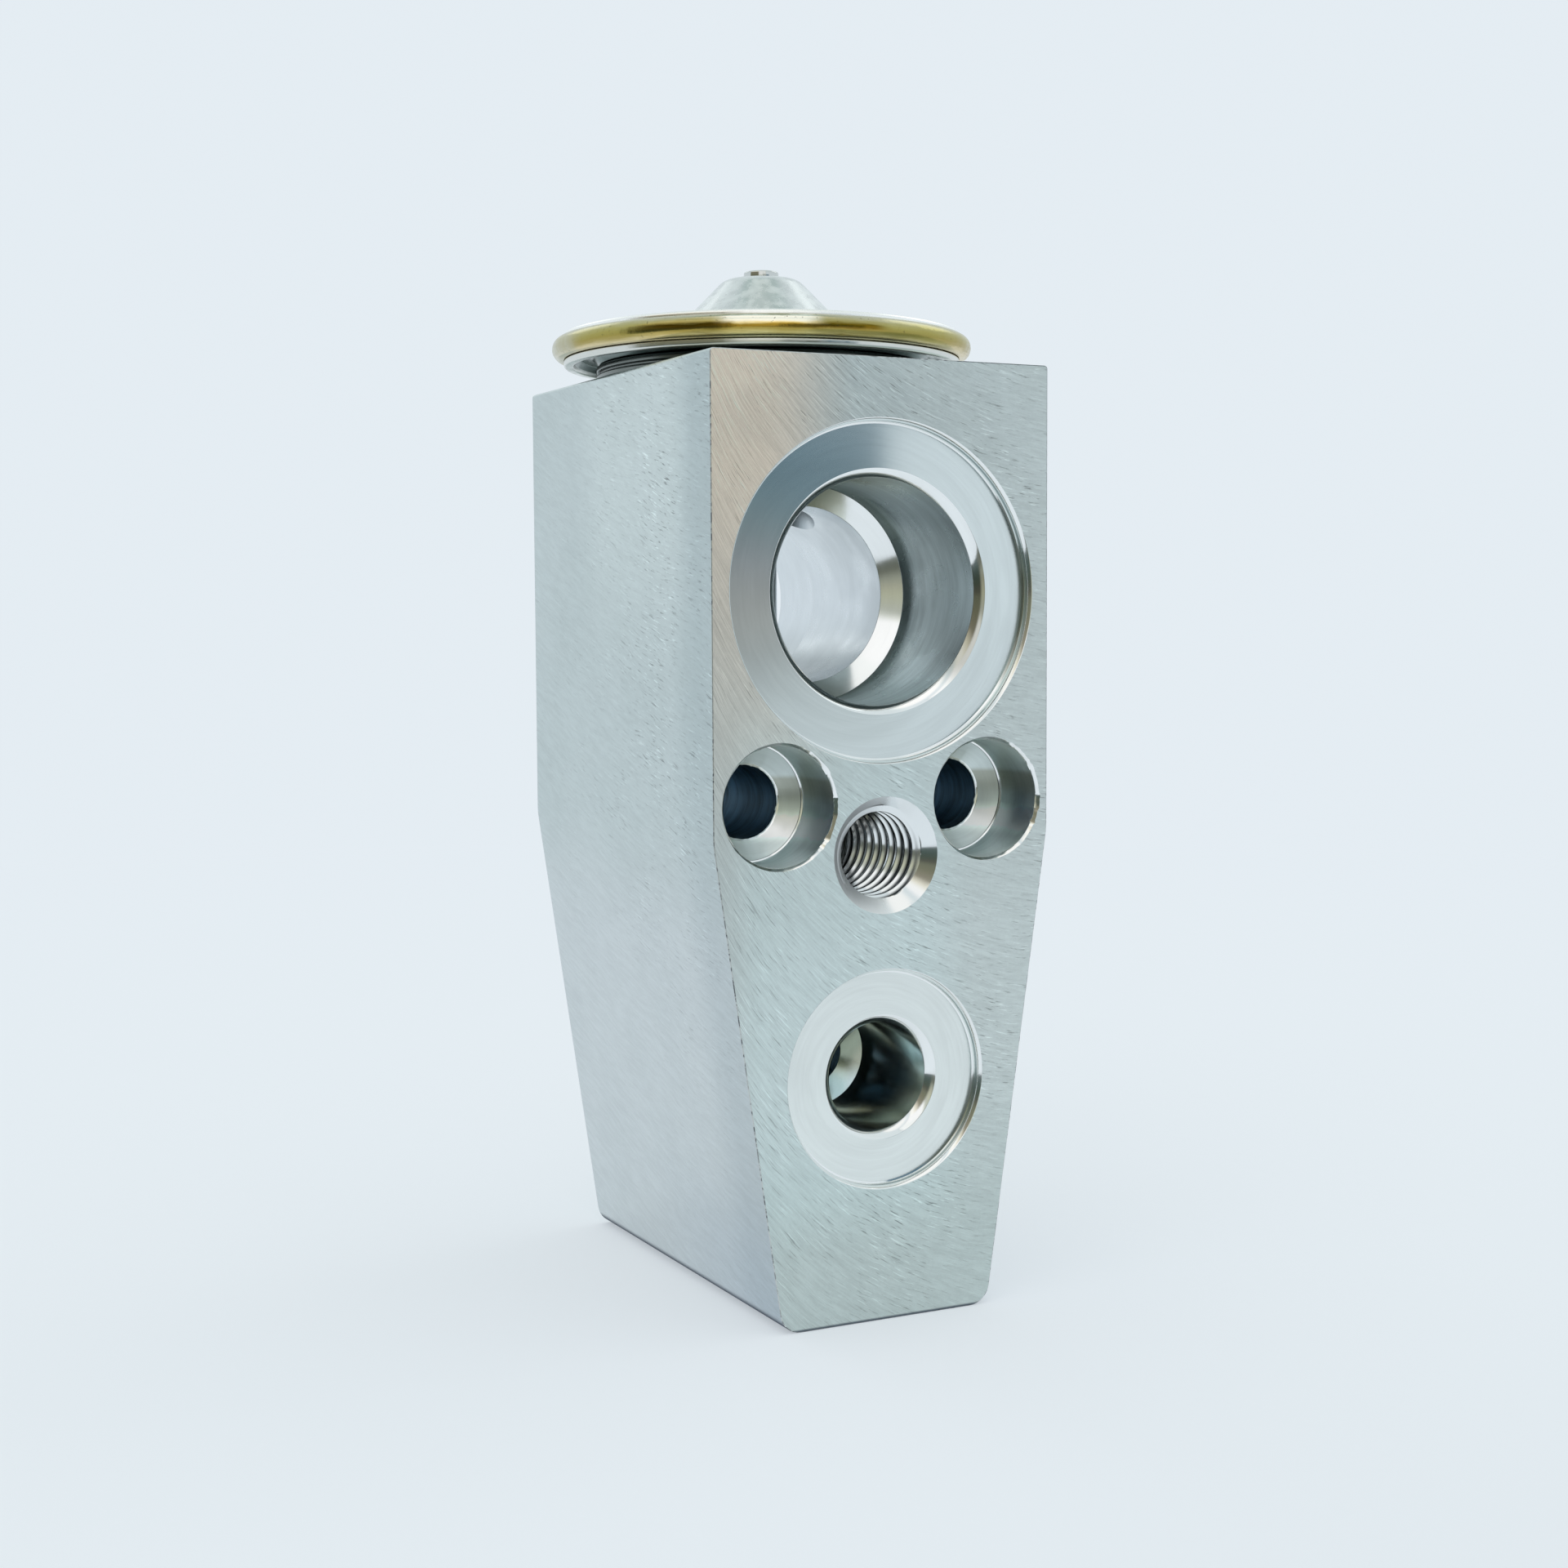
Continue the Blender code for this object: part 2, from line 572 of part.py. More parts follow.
def make_adjusting_screw(material):
    """Builds the screw that closes the chamber and sets the spring, with a hexagon socket."""
    thread_radius = ADJUSTER_THREAD_RADIUS - THREAD_GAP
    groove_radius = SCREW_NECK_RADIUS - SCREW_GROOVE_DEPTH
    groove_bottom = SCREW_GROOVE_MIDDLE - 0.5 * SCREW_GROOVE_WIDTH
    groove_top = SCREW_GROOVE_MIDDLE + 0.5 * SCREW_GROOVE_WIDTH
    outline = [
        (0.0, SCREW_SINK),
        (thread_radius - SCREW_CHAMFER, SCREW_SINK),
        (thread_radius, SCREW_SINK + SCREW_CHAMFER),
        (thread_radius, SCREW_SHOULDER - SCREW_CHAMFER),
        (thread_radius - SCREW_CHAMFER, SCREW_SHOULDER),
        (SCREW_NECK_RADIUS, SCREW_SHOULDER),
        (SCREW_NECK_RADIUS, groove_bottom),
        (groove_radius, groove_bottom),
        (groove_radius, groove_top),
        (SCREW_NECK_RADIUS, groove_top),
        (SCREW_NECK_RADIUS, SCREW_TOP - SCREW_CHAMFER),
        (SCREW_NECK_RADIUS - SCREW_CHAMFER, SCREW_TOP),
        (SCREW_SPIGOT_RADIUS, SCREW_TOP),
        (SCREW_SPIGOT_RADIUS, SCREW_TOP + SCREW_SPIGOT_LENGTH - SCREW_CHAMFER),
        (SCREW_SPIGOT_RADIUS - SCREW_CHAMFER, SCREW_TOP + SCREW_SPIGOT_LENGTH),
        (0.0, SCREW_TOP + SCREW_SPIGOT_LENGTH),
    ]
    mesh = turned("adjusting_screw", outline, axis_place(), PORT_SEGMENTS)
    screw = add_piece("adjusting_screw", mesh, material, on_axis())
    corner_radius = 0.5 * SCREW_HEX_ACROSS_FLATS / math.cos(math.pi / HEXAGON_SIDES)
    socket_floor = SCREW_SINK + SCREW_HEX_DEPTH
    point = drill_point(corner_radius, 0.0) * SCREW_HEX_POINT_SHARE
    socket = [
        (0.0, SCREW_SINK - CUT_OVERRUN),
        (corner_radius, SCREW_SINK - CUT_OVERRUN),
        (corner_radius, socket_floor),
        (0.0, socket_floor + point),
    ]
    cut_away(screw, "hex_socket_cut", turned("hex_socket_cut", socket, axis_place(), HEXAGON_SIDES))


def make_adjusting_screw_seal(material):
    """Builds the ring in the adjusting screw's groove."""
    groove_radius = SCREW_NECK_RADIUS - SCREW_GROOVE_DEPTH
    section = 0.5 * (CHAMBER_RADIUS - groove_radius) - SEAL_GAP
    mean_radius = 0.5 * (CHAMBER_RADIUS + groove_radius)
    centre = on_axis(SCREW_GROOVE_MIDDLE)
    mesh = ring_of_round_section("adjusting_screw_seal", mean_radius, section, centre)
    add_piece("adjusting_screw_seal", mesh, material, on_axis())


def make_valve_spring(material):
    """Builds the coil spring, with closed ends that lie flat on its two seats."""
    count = round(SPRING_TURNS * WIRE_STEPS_PER_TURN)
    low = SPRING_BOTTOM + SPRING_WIRE_RADIUS
    high = SPRING_TOP - SPRING_WIRE_RADIUS
    end_rise = 2.0 * SPRING_WIRE_RADIUS * SPRING_CLOSED_TURNS
    rise_by_turn = (high - low - 2.0 * end_rise) / (SPRING_TURNS - 2.0 * SPRING_CLOSED_TURNS)
    shape = bmesh.new()
    rings = []
    for step in range(count + 1):
        turn = SPRING_TURNS * step / count
        if turn < SPRING_CLOSED_TURNS:
            height = low + 2.0 * SPRING_WIRE_RADIUS * turn
        elif turn > SPRING_TURNS - SPRING_CLOSED_TURNS:
            height = high - 2.0 * SPRING_WIRE_RADIUS * (SPRING_TURNS - turn)
        else:
            height = low + end_rise + rise_by_turn * (turn - SPRING_CLOSED_TURNS)
        angle = math.tau * turn
        outward = Vector((math.cos(angle), math.sin(angle), 0.0))
        centre = outward * SPRING_COIL_RADIUS + Vector((0.0, 0.0, height))
        ring = []
        for side in range(WIRE_SIDES):
            around = math.tau * (side + 0.5) / WIRE_SIDES
            across = outward * (SPRING_WIRE_RADIUS * math.cos(around))
            rise = Vector((0.0, 0.0, SPRING_WIRE_RADIUS * math.sin(around)))
            ring.append(shape.verts.new(centre + across + rise))
        rings.append(ring)
    for first, second in zip(rings, rings[1:]):
        for side in range(WIRE_SIDES):
            after = (side + 1) % WIRE_SIDES
            shape.faces.new((first[side], first[after], second[after], second[side]))
    shape.faces.new(rings[0])
    shape.faces.new(rings[-1])
    add_piece("valve_spring", finish_mesh(shape, "valve_spring", axis_place()), material, on_axis())


def make_valve_ball(material):
    """Builds the ball that closes the orifice from below."""
    shape = bmesh.new()
    bmesh.ops.create_uvsphere(shape, u_segments=SMALL_SEGMENTS, v_segments=SMALL_SEGMENTS // 2, radius=BALL_RADIUS)
    mesh = finish_mesh(shape, "valve_ball", Matrix.Translation(on_axis(BALL_HEIGHT)))
    add_piece("valve_ball", mesh, material, on_axis())


def make_ball_holder(material):
    """Builds the holder: a cup for the ball, a flange over the spring and a spigot inside it."""
    cup_radius = BALL_RADIUS + SEAT_GAP
    rim_angle = math.asin(HOLDER_CUP_BELOW_CENTRE / cup_radius)
    spigot_bottom = HOLDER_FLANGE_BOTTOM - HOLDER_SPIGOT_LENGTH
    outline = [
        (0.0, spigot_bottom),
        (HOLDER_SPIGOT_RADIUS - SCREW_CHAMFER, spigot_bottom),
        (HOLDER_SPIGOT_RADIUS, spigot_bottom + SCREW_CHAMFER),
        (HOLDER_SPIGOT_RADIUS, HOLDER_FLANGE_BOTTOM),
        (HOLDER_FLANGE_RADIUS, HOLDER_FLANGE_BOTTOM),
        (HOLDER_FLANGE_RADIUS, HOLDER_FLANGE_TOP),
        (cup_radius + HOLDER_CUP_WALL, HOLDER_FLANGE_TOP),
        (cup_radius + HOLDER_CUP_WALL, BALL_HEIGHT - HOLDER_CUP_BELOW_CENTRE),
    ]
    steps = 2 * ARC_STEPS
    for step in range(steps + 1):
        angle = rim_angle + (0.5 * math.pi - rim_angle) * step / steps
        radius = cup_radius * math.cos(angle) if step < steps else 0.0
        outline.append((radius, BALL_HEIGHT - cup_radius * math.sin(angle)))
    mesh = turned("ball_holder", outline, axis_place(), SMALL_SEGMENTS)
    add_piece("ball_holder", mesh, material, on_axis())


def sector_prism(name, inner, outer, start, sweep, bottom, top):
    """Returns a ring sector of rectangular section about the valve axis."""
    steps = 2 * ARC_STEPS
    outline = []
    for step in range(steps + 1):
        angle = start + sweep * step / steps
        outline.append((outer * math.cos(angle), outer * math.sin(angle)))
    for step in range(steps + 1):
        angle = start + sweep * (steps - step) / steps
        outline.append((inner * math.cos(angle), inner * math.sin(angle)))
    return extruded(name, outline, top - bottom, Matrix.Translation(on_axis(bottom)))


def make_damping_spring(material):
    """Builds the thin washer under the holder, whose bent legs rub on the chamber wall."""
    outer = CHAMBER_RADIUS - DAMPER_WALL_GAP
    inner = HOLDER_SPIGOT_RADIUS + SEAT_GAP
    outline = [
        (inner, DAMPER_TOP),
        (inner, DAMPER_BOTTOM),
        (outer - DAMPER_THICKNESS, DAMPER_BOTTOM),
        (outer - DAMPER_THICKNESS, DAMPER_TOP - DAMPER_LEG_LENGTH),
        (outer, DAMPER_TOP - DAMPER_LEG_LENGTH),
        (outer, DAMPER_TOP),
    ]
    mesh = turned("damping_spring", outline, axis_place(), PORT_SEGMENTS)
    damper = add_piece("damping_spring", mesh, material, on_axis())
    pitch = math.tau / DAMPER_LEG_COUNT
    for leg in range(DAMPER_LEG_COUNT):
        name = f"damper_window_cut_{leg + 1}"
        start = pitch * leg + 0.5 * DAMPER_LEG_ANGLE
        bottom = DAMPER_TOP - DAMPER_LEG_LENGTH - CUT_OVERRUN
        top = DAMPER_TOP + CUT_OVERRUN
        sweep = pitch - DAMPER_LEG_ANGLE
        window = sector_prism(name, HOLDER_FLANGE_RADIUS, outer + CUT_OVERRUN, start, sweep, bottom, top)
        cut_away(damper, name, window)


def make_operating_rod(material):
    """Builds the thin rod that the stop pushes and that pushes the ball."""
    outline = [
        (0.0, ROD_BOTTOM),
        (ROD_RADIUS - ROD_END_CHAMFER, ROD_BOTTOM),
        (ROD_RADIUS, ROD_BOTTOM + ROD_END_CHAMFER),
        (ROD_RADIUS, ROD_TOP - ROD_END_CHAMFER),
        (ROD_RADIUS - ROD_END_CHAMFER, ROD_TOP),
        (0.0, ROD_TOP),
    ]
    mesh = turned("operating_rod", outline, axis_place(), SMALL_SEGMENTS)
    add_piece("operating_rod", mesh, material, on_axis())


def make_rod_seal_ring(material):
    """Builds the ring that seals the rod under the suction passage."""
    mean_radius = 0.5 * (ROD_RADIUS + ROD_SEAL_POCKET_RADIUS)
    centre = on_axis(ROD_SEAL_POCKET_FLOOR + SEAT_GAP + ROD_RING_SECTION)
    mesh = ring_of_round_section("rod_seal_ring", mean_radius, ROD_RING_SECTION, centre)
    add_piece("rod_seal_ring", mesh, material, on_axis())


def make_seal_retainer(material):
    """Builds the pressed collar that keeps the rod's ring in its pocket."""
    bottom = ROD_SEAL_POCKET_FLOOR + 2.0 * (SEAT_GAP + ROD_RING_SECTION)
    top = bottom + RETAINER_HEIGHT
    outer = ROD_SEAL_POCKET_RADIUS - SEAL_GAP
    inner = ROD_GUIDE_RADIUS + SEAT_GAP
    outline = [
        (inner, bottom),
        (outer - RETAINER_CHAMFER, bottom),
        (outer, bottom + RETAINER_CHAMFER),
        (outer, top),
        (inner + RETAINER_CHAMFER, top),
        (inner, top - RETAINER_CHAMFER),
    ]
    mesh = turned("seal_retainer", outline, axis_place(), SMALL_SEGMENTS)
    add_piece("seal_retainer", mesh, material, on_axis())


def make_mounting_boss(material):
    """Builds the threaded boss that screws the capsule into the block."""
    thread_radius = CAPSULE_THREAD_RADIUS - THREAD_GAP
    ledge = STOP_BOTTOM - VALVE_LIFT - SEAT_GAP
    bottom = BOSS_FLANGE_BOTTOM - BOSS_BODY_LENGTH
    middle = 0.5 * (BOSS_FLANGE_BOTTOM + BOSS_FLANGE_TOP)
    groove_radius = BOSS_FLANGE_RADIUS - BOSS_GROOVE_DEPTH
    outline = [
        (STOP_BORE_RADIUS - BOSS_LEDGE_WIDTH, bottom),
        (thread_radius - SCREW_CHAMFER, bottom),
        (thread_radius, bottom + SCREW_CHAMFER),
        (thread_radius, BOSS_FLANGE_BOTTOM),
        (BOSS_FLANGE_RADIUS, BOSS_FLANGE_BOTTOM),
        (BOSS_FLANGE_RADIUS, middle - 0.5 * BOSS_GROOVE_WIDTH),
        (groove_radius, middle),
        (BOSS_FLANGE_RADIUS, middle + 0.5 * BOSS_GROOVE_WIDTH),
        (BOSS_FLANGE_RADIUS, BOSS_FLANGE_TOP),
        (COLLAR_RADIUS, BOSS_FLANGE_TOP),
        (COLLAR_RADIUS, LOWER_COVER_TOP - SEAT_GAP),
        (STOP_BORE_RADIUS, LOWER_COVER_TOP - SEAT_GAP),
        (STOP_BORE_RADIUS, ledge),
        (STOP_BORE_RADIUS - BOSS_LEDGE_WIDTH, ledge),
    ]
    mesh = turned("mounting_boss", outline, axis_place(), CAPSULE_SEGMENTS)
    add_piece("mounting_boss", mesh, material, on_axis())


def make_element_seal_ring(material):
    """Builds the ring in the chamfer between the block, the boss and its flange."""
    inset = ELEMENT_RING_SECTION + SEAT_GAP
    mean_radius = CAPSULE_THREAD_RADIUS - THREAD_GAP + inset
    centre = on_axis(BOSS_FLANGE_BOTTOM - inset)
    mesh = ring_of_round_section("element_seal_ring", mean_radius, ELEMENT_RING_SECTION, centre)
    add_piece("element_seal_ring", mesh, material, on_axis())


def make_lower_cover(material):
    """Builds the capsule's lower plate, with a turned-down rim, on the boss's collar."""
    hole_radius = COLLAR_RADIUS + SEAT_GAP
    rim_inner = CAPSULE_FLANGE_RADIUS - LOWER_COVER_RIM_WIDTH
    outline = [
        (hole_radius, LOWER_COVER_BOTTOM),
        (rim_inner - LOWER_COVER_RIM_DROP, LOWER_COVER_BOTTOM),
        (rim_inner, RIM_BOTTOM),
        (CAPSULE_FLANGE_RADIUS - LOWER_COVER_RIM_DROP, RIM_BOTTOM),
        (CAPSULE_FLANGE_RADIUS, RIM_BOTTOM + LOWER_COVER_RIM_DROP),
        (CAPSULE_FLANGE_RADIUS, LOWER_COVER_TOP),
        (hole_radius, LOWER_COVER_TOP),
    ]
    mesh = turned("lower_cover", outline, axis_place(), CAPSULE_SEGMENTS)
    add_piece("lower_cover", mesh, material, on_axis())


def make_diaphragm(material):
    """Builds the thin diaphragm, with ring waves between its clamped rim and flat centre."""
    wave_start = STOP_RADIUS + DIAPHRAGM_WAVE_INSET
    wave_end = CAPSULE_FLANGE_RADIUS - UPPER_COVER_FLANGE_WIDTH
    steps = WAVE_STEPS * DIAPHRAGM_WAVE_COUNT
    middle = [(0.0, 0.0), (wave_start, 0.0)]
    for step in range(1, steps):
        share = step / steps
        radius = wave_start + (wave_end - wave_start) * share
        middle.append((radius, DIAPHRAGM_WAVE * math.sin(math.tau * DIAPHRAGM_WAVE_COUNT * share)))
    middle += [(wave_end, 0.0), (CAPSULE_FLANGE_RADIUS, 0.0)]
    lower = [(radius, DIAPHRAGM_BOTTOM + wave) for radius, wave in middle]
    upper = [(radius, DIAPHRAGM_TOP + wave) for radius, wave in reversed(middle)]
    mesh = turned("diaphragm", lower + upper, axis_place(), PORT_SEGMENTS)
    add_piece("diaphragm", mesh, material, on_axis())


def make_diaphragm_stop(material):
    """Builds the stop under the diaphragm, with a blind socket for the rod in its hub."""
    socket_radius = ROD_RADIUS + SLIDE_GAP
    outline = [
        (0.0, STOP_HUB_BOTTOM + ROD_SOCKET_DEPTH),
        (socket_radius, STOP_HUB_BOTTOM + ROD_SOCKET_DEPTH),
        (socket_radius, STOP_HUB_BOTTOM),
        (STOP_HUB_RADIUS - STOP_EDGE_CHAMFER, STOP_HUB_BOTTOM),
        (STOP_HUB_RADIUS, STOP_HUB_BOTTOM + STOP_EDGE_CHAMFER),
        (STOP_HUB_RADIUS, STOP_BOTTOM),
        (STOP_RADIUS, STOP_BOTTOM),
        (STOP_RADIUS, STOP_TOP - STOP_EDGE_CHAMFER),
        (STOP_RADIUS - STOP_EDGE_CHAMFER, STOP_TOP),
        (0.0, STOP_TOP),
    ]
    mesh = turned("diaphragm_stop", outline, axis_place(), SMALL_SEGMENTS)
    add_piece("diaphragm_stop", mesh, material, on_axis())


def cover_corners(lift, shrink):
    """Returns the corners of one side of the upper cover, from its flange to its filling hole.

    The under side is the same line, lowered by the sheet's thickness and shrunk towards the axis.
    """
    step_start = CAPSULE_FLANGE_RADIUS - UPPER_COVER_FLANGE_WIDTH
    step_height = lift + UPPER_COVER_STEP
    dome_height = step_height + UPPER_COVER_DOME
    cone_height = dome_height + (CONE_RADIUS - CONE_TOP_RADIUS)
    corners = [
        (CAPSULE_FLANGE_RADIUS, lift),
        (step_start, lift),
        (step_start - UPPER_COVER_STEP_WIDTH, step_height),
        (CONE_RADIUS - shrink, dome_height),
        (CONE_TOP_RADIUS - shrink, cone_height),
        (PLUG_STEM_RADIUS + SEAT_GAP, cone_height),
    ]
    return corners


def cone_top():
    """Returns the height of the flat top of the upper cover's raised middle."""
    rise = UPPER_COVER_STEP + UPPER_COVER_DOME + CONE_RADIUS - CONE_TOP_RADIUS
    return UPPER_COVER_TOP + rise


def make_upper_cover(material):
    """Builds the pressed upper cover: flange, shallow dome and raised cone with the filling hole."""
    radii = [0.0, UPPER_COVER_STEP, UPPER_COVER_STEP, CONE_FOOT_ROUNDING, CONE_TOP_ROUNDING, 0.0]
    outer = filleted(cover_corners(UPPER_COVER_TOP, 0.0), radii)
    inner = cover_corners(UPPER_COVER_BOTTOM, CONE_SHRINK)
    mesh = turned("upper_cover", outer + inner[::-1], axis_place(), CAPSULE_SEGMENTS)
    add_piece("upper_cover", mesh, material, on_axis())


def make_fill_plug(material):
    """Builds the plug that seals the capsule's filling hole."""
    bottom = cone_top() + PLUG_SEAT_GAP
    top = bottom + PLUG_HEIGHT
    outline = [
        (0.0, bottom - PLUG_STEM_LENGTH),
        (PLUG_STEM_RADIUS, bottom - PLUG_STEM_LENGTH),
        (PLUG_STEM_RADIUS, bottom),
        (PLUG_RADIUS, bottom),
        (PLUG_RADIUS, top - PLUG_EDGE_CHAMFER),
        (PLUG_RADIUS - PLUG_EDGE_CHAMFER, top),
        (0.0, top),
    ]
    mesh = turned("fill_plug", outline, axis_place(), SMALL_SEGMENTS)
    add_piece("fill_plug", mesh, material, on_axis())


def make_rim_weld(material):
    """Builds the weld bead that joins both covers and the diaphragm around their rim."""
    inner = CAPSULE_FLANGE_RADIUS + SEAT_GAP
    bottom = RIM_BOTTOM + WELD_BOTTOM_ABOVE_RIM
    top = bottom + WELD_HEIGHT
    corners = [(inner, bottom), (CAPSULE_RADIUS, bottom), (CAPSULE_RADIUS, top), (inner, top)]
    outline = filleted(corners, [0.0, WELD_ROUNDING, WELD_ROUNDING, 0.0])
    mesh = turned("rim_weld", outline, axis_place(), CAPSULE_SEGMENTS)
    add_piece("rim_weld", mesh, material, on_axis())


def build():
    """Builds the whole valve."""
    clear_scene()
    aluminium = make_material("machined_aluminium", (0.68, 0.71, 0.72), 0.34)
    stainless = make_material("pressed_stainless", (0.72, 0.74, 0.74), 0.28)
    weld = make_material("tinted_weld", (0.55, 0.47, 0.22), 0.36)
    bright = make_material("polished_steel", (0.80, 0.81, 0.81), 0.12)
    spring_steel = make_material("spring_steel", (0.55, 0.56, 0.58), 0.30)
    brass = make_material("turned_brass", (0.72, 0.56, 0.28), 0.30)
    rubber = make_material("black_rubber", (0.03, 0.035, 0.03), 0.70, 0.0)
    make_valve_body(aluminium)
    make_adjusting_screw(brass)
    make_adjusting_screw_seal(rubber)
    make_valve_spring(spring_steel)
    make_damping_spring(spring_steel)
    make_ball_holder(brass)
    make_valve_ball(bright)
    make_operating_rod(bright)
    make_rod_seal_ring(rubber)
    make_seal_retainer(stainless)
    make_mounting_boss(stainless)
    make_element_seal_ring(rubber)
    make_lower_cover(stainless)
    make_diaphragm(spring_steel)
    make_diaphragm_stop(stainless)
    make_upper_cover(stainless)
    make_rim_weld(weld)
    make_fill_plug(bright)


build()
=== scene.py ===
"""Dresses a block-type expansion valve: milled aluminium block, threaded hole and diaphragm capsule.

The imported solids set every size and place. The pieces made here are finer versions of the same
forms, worked out as surfaces of two parameters, with the finishes of the machined metal.
Lengths are millimetres in the sizes below and metres in the meshes.
"""

import logging
import math
from dataclasses import dataclass, field
from enum import Enum, IntEnum
from typing import Sequence

import bpy
import numpy as np
from mathutils import Matrix, Vector


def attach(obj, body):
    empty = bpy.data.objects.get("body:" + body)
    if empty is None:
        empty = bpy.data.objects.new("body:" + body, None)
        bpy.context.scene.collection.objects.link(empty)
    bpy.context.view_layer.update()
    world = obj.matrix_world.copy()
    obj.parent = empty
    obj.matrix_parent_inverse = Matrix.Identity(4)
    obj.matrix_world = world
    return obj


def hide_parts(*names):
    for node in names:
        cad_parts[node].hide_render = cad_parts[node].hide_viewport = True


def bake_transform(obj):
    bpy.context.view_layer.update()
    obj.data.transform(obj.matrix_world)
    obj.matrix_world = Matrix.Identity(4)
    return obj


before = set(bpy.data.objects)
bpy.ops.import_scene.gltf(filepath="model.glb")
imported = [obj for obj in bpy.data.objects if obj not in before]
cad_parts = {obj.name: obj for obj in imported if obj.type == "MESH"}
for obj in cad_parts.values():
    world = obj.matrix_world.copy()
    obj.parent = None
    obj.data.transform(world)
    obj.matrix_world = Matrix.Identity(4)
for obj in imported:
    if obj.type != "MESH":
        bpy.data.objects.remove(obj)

log = logging.getLogger("expansion_valve")

MM = 0.001
FRONT_Y = -19.925
BACK_Y = 18.175
AXIS_Y = 1.925
BLOCK = "valve_block"
TRAIN = "valve_train"
CARRIAGE = "adjuster_carriage"
ADJUSTER = "adjuster"
Colour = tuple[float, float, float]
Bands = tuple[tuple[float, Colour], ...]
Span = tuple[float, float, float, float]
Socket = bpy.types.NodeSocket
Material = bpy.types.Material
Mesh = bpy.types.Mesh


class Zone(IntEnum):
    """Finish of each part of the block's surface, in the order of its material slots."""

    FACE = 0
    FLANK = 1
    EDGE = 2
    SUCTION_SEAT = 3
    LIQUID_SEAT = 4
    OUTLET_SEAT = 5
    CHAMFER = 6
    PORT = 7
    PASSAGE = 8
    COUNTERBORE = 9
    DEEP_HOLE = 10
    LIQUID_PORT = 11


class Heading(Enum):
    """Way that heights run along a spindle, with the two directions across it."""

    INTO_HOSE_SIDE = ((1.0, 0.0, 0.0), (0.0, 0.0, 1.0), (0.0, 1.0, 0.0))
    INTO_EVAPORATOR_SIDE = ((1.0, 0.0, 0.0), (0.0, 0.0, 1.0), (0.0, -1.0, 0.0))
    UP = ((1.0, 0.0, 0.0), (0.0, 1.0, 0.0), (0.0, 0.0, 1.0))


@dataclass(frozen=True)
class Spindle:
    """Axis that round forms are turned about."""

    x: float
    y: float
    z: float
    heading: Heading

    def points(self, radius: np.ndarray, height: np.ndarray, angle: np.ndarray) -> np.ndarray:
        """Places points about the axis.

        Formula: centre + radius * (cos(angle) * across + sin(angle) * aside) + height * along.

        Args:
            radius: Distances from the axis.
            height: Distances along the heading.
            angle: Angles about the axis, in radians.

        Returns:
            The points, with x, y and z in the last axis.
        """
        across, aside, along = (np.array(way) for way in self.heading.value)
        turn = np.cos(angle)[..., None] * across + np.sin(angle)[..., None] * aside
        return np.array((self.x, self.y, self.z)) + radius[..., None] * turn + height[..., None] * along


VALVE_AXIS = Spindle(0.0, AXIS_Y, 0.0, Heading.UP)


def ripple(angle: np.ndarray, seed: int, low: int = 3, high: int = 40) -> np.ndarray:
    """Returns a smooth uneven line round a circle, between about -1 and 1.

    Formula: the mean of cosines of whole multiples of the angle, each with its own fixed phase
    and a weight that falls with the square root of the multiple.

    Args:
        angle: Angles about the axis, in radians.
        seed: Picks the phases.
        low: Smallest multiple.
        high: One past the largest multiple.
    """
    source = np.random.default_rng(seed)
    order = np.arange(low, high)
    phase = source.uniform(0.0, math.tau, order.size)
    weight = 1.0 / np.sqrt(order)
    waves = np.cos(np.asarray(angle)[..., None] * order + phase) * weight
    return waves.sum(axis=-1) / math.sqrt((weight**2).sum()) * 0.8


def rounded(corners: Sequence[tuple[float, float]], radii: Sequence[float], steps: int = 6) -> np.ndarray:
    """Rounds the corners of a line or outline.

    Formula: each corner gives an arc that touches both of its sides, whose centre lies on the
    corner's bisector at the radius divided by the sine of half its angle.

    Args:
        corners: The (across, up) corners.
        radii: One radius for each corner, zero to keep it sharp.
        steps: Steps of each arc.

    Returns:
        The points of the line, one row each.
    """
    spots = [np.array(corner, float) for corner in corners]
    line = []
    for index, radius in enumerate(radii):
        corner = spots[index]
        if radius <= 0.0:
            line.append(corner[None])
            continue
        before = spots[index - 1] - corner
        after = spots[(index + 1) % len(spots)] - corner
        before = before / np.linalg.norm(before)
        after = after / np.linalg.norm(after)
        half = 0.5 * math.acos(float(np.clip(before @ after, -1.0, 1.0)))
        bisector = (before + after) / np.linalg.norm(before + after)
        reach = radius / math.tan(half)
        centre = corner + bisector * radius / math.sin(half)
        start = corner + before * reach - centre
        end = corner + after * reach - centre
        share = np.linspace(0.0, 1.0, steps + 1)[:, None]
        sweep = math.pi - 2.0 * half
        arc = (np.sin((1.0 - share) * sweep) * start + np.sin(share * sweep) * end) / math.sin(sweep)
        line.append(centre + arc)
    return np.concatenate(line)


def solid_mesh(name: str, points: np.ndarray, faces: list[list[int]]) -> Mesh:
    """Makes a closed mesh whose faces point outwards.

    Formula: the volume is a sixth of the sum of a . (b x c) over each face's fan of triangles,
    and where it is negative every face is turned round.

    Args:
        name: The mesh's name.
        points: Corners in millimetres, one row each. Those that no face has are left out.
        faces: Corner numbers of each face.
    """
    fans = np.array([[face[0], face[k], face[k + 1]] for face in faces for k in range(1, len(face) - 1)])
    used = np.unique(fans)
    place = np.zeros(len(points), int)
    place[used] = np.arange(len(used))
    first, second, third = (points[fans[:, k]] for k in range(3))
    if np.einsum("ij,ij->i", first, np.cross(second, third)).sum() < 0.0:
        faces = [face[::-1] for face in faces]
    mesh = bpy.data.meshes.new(name)
    mesh.from_pydata(points[used] * MM, [], [place[face].tolist() for face in faces])
    mesh.update()
    return mesh


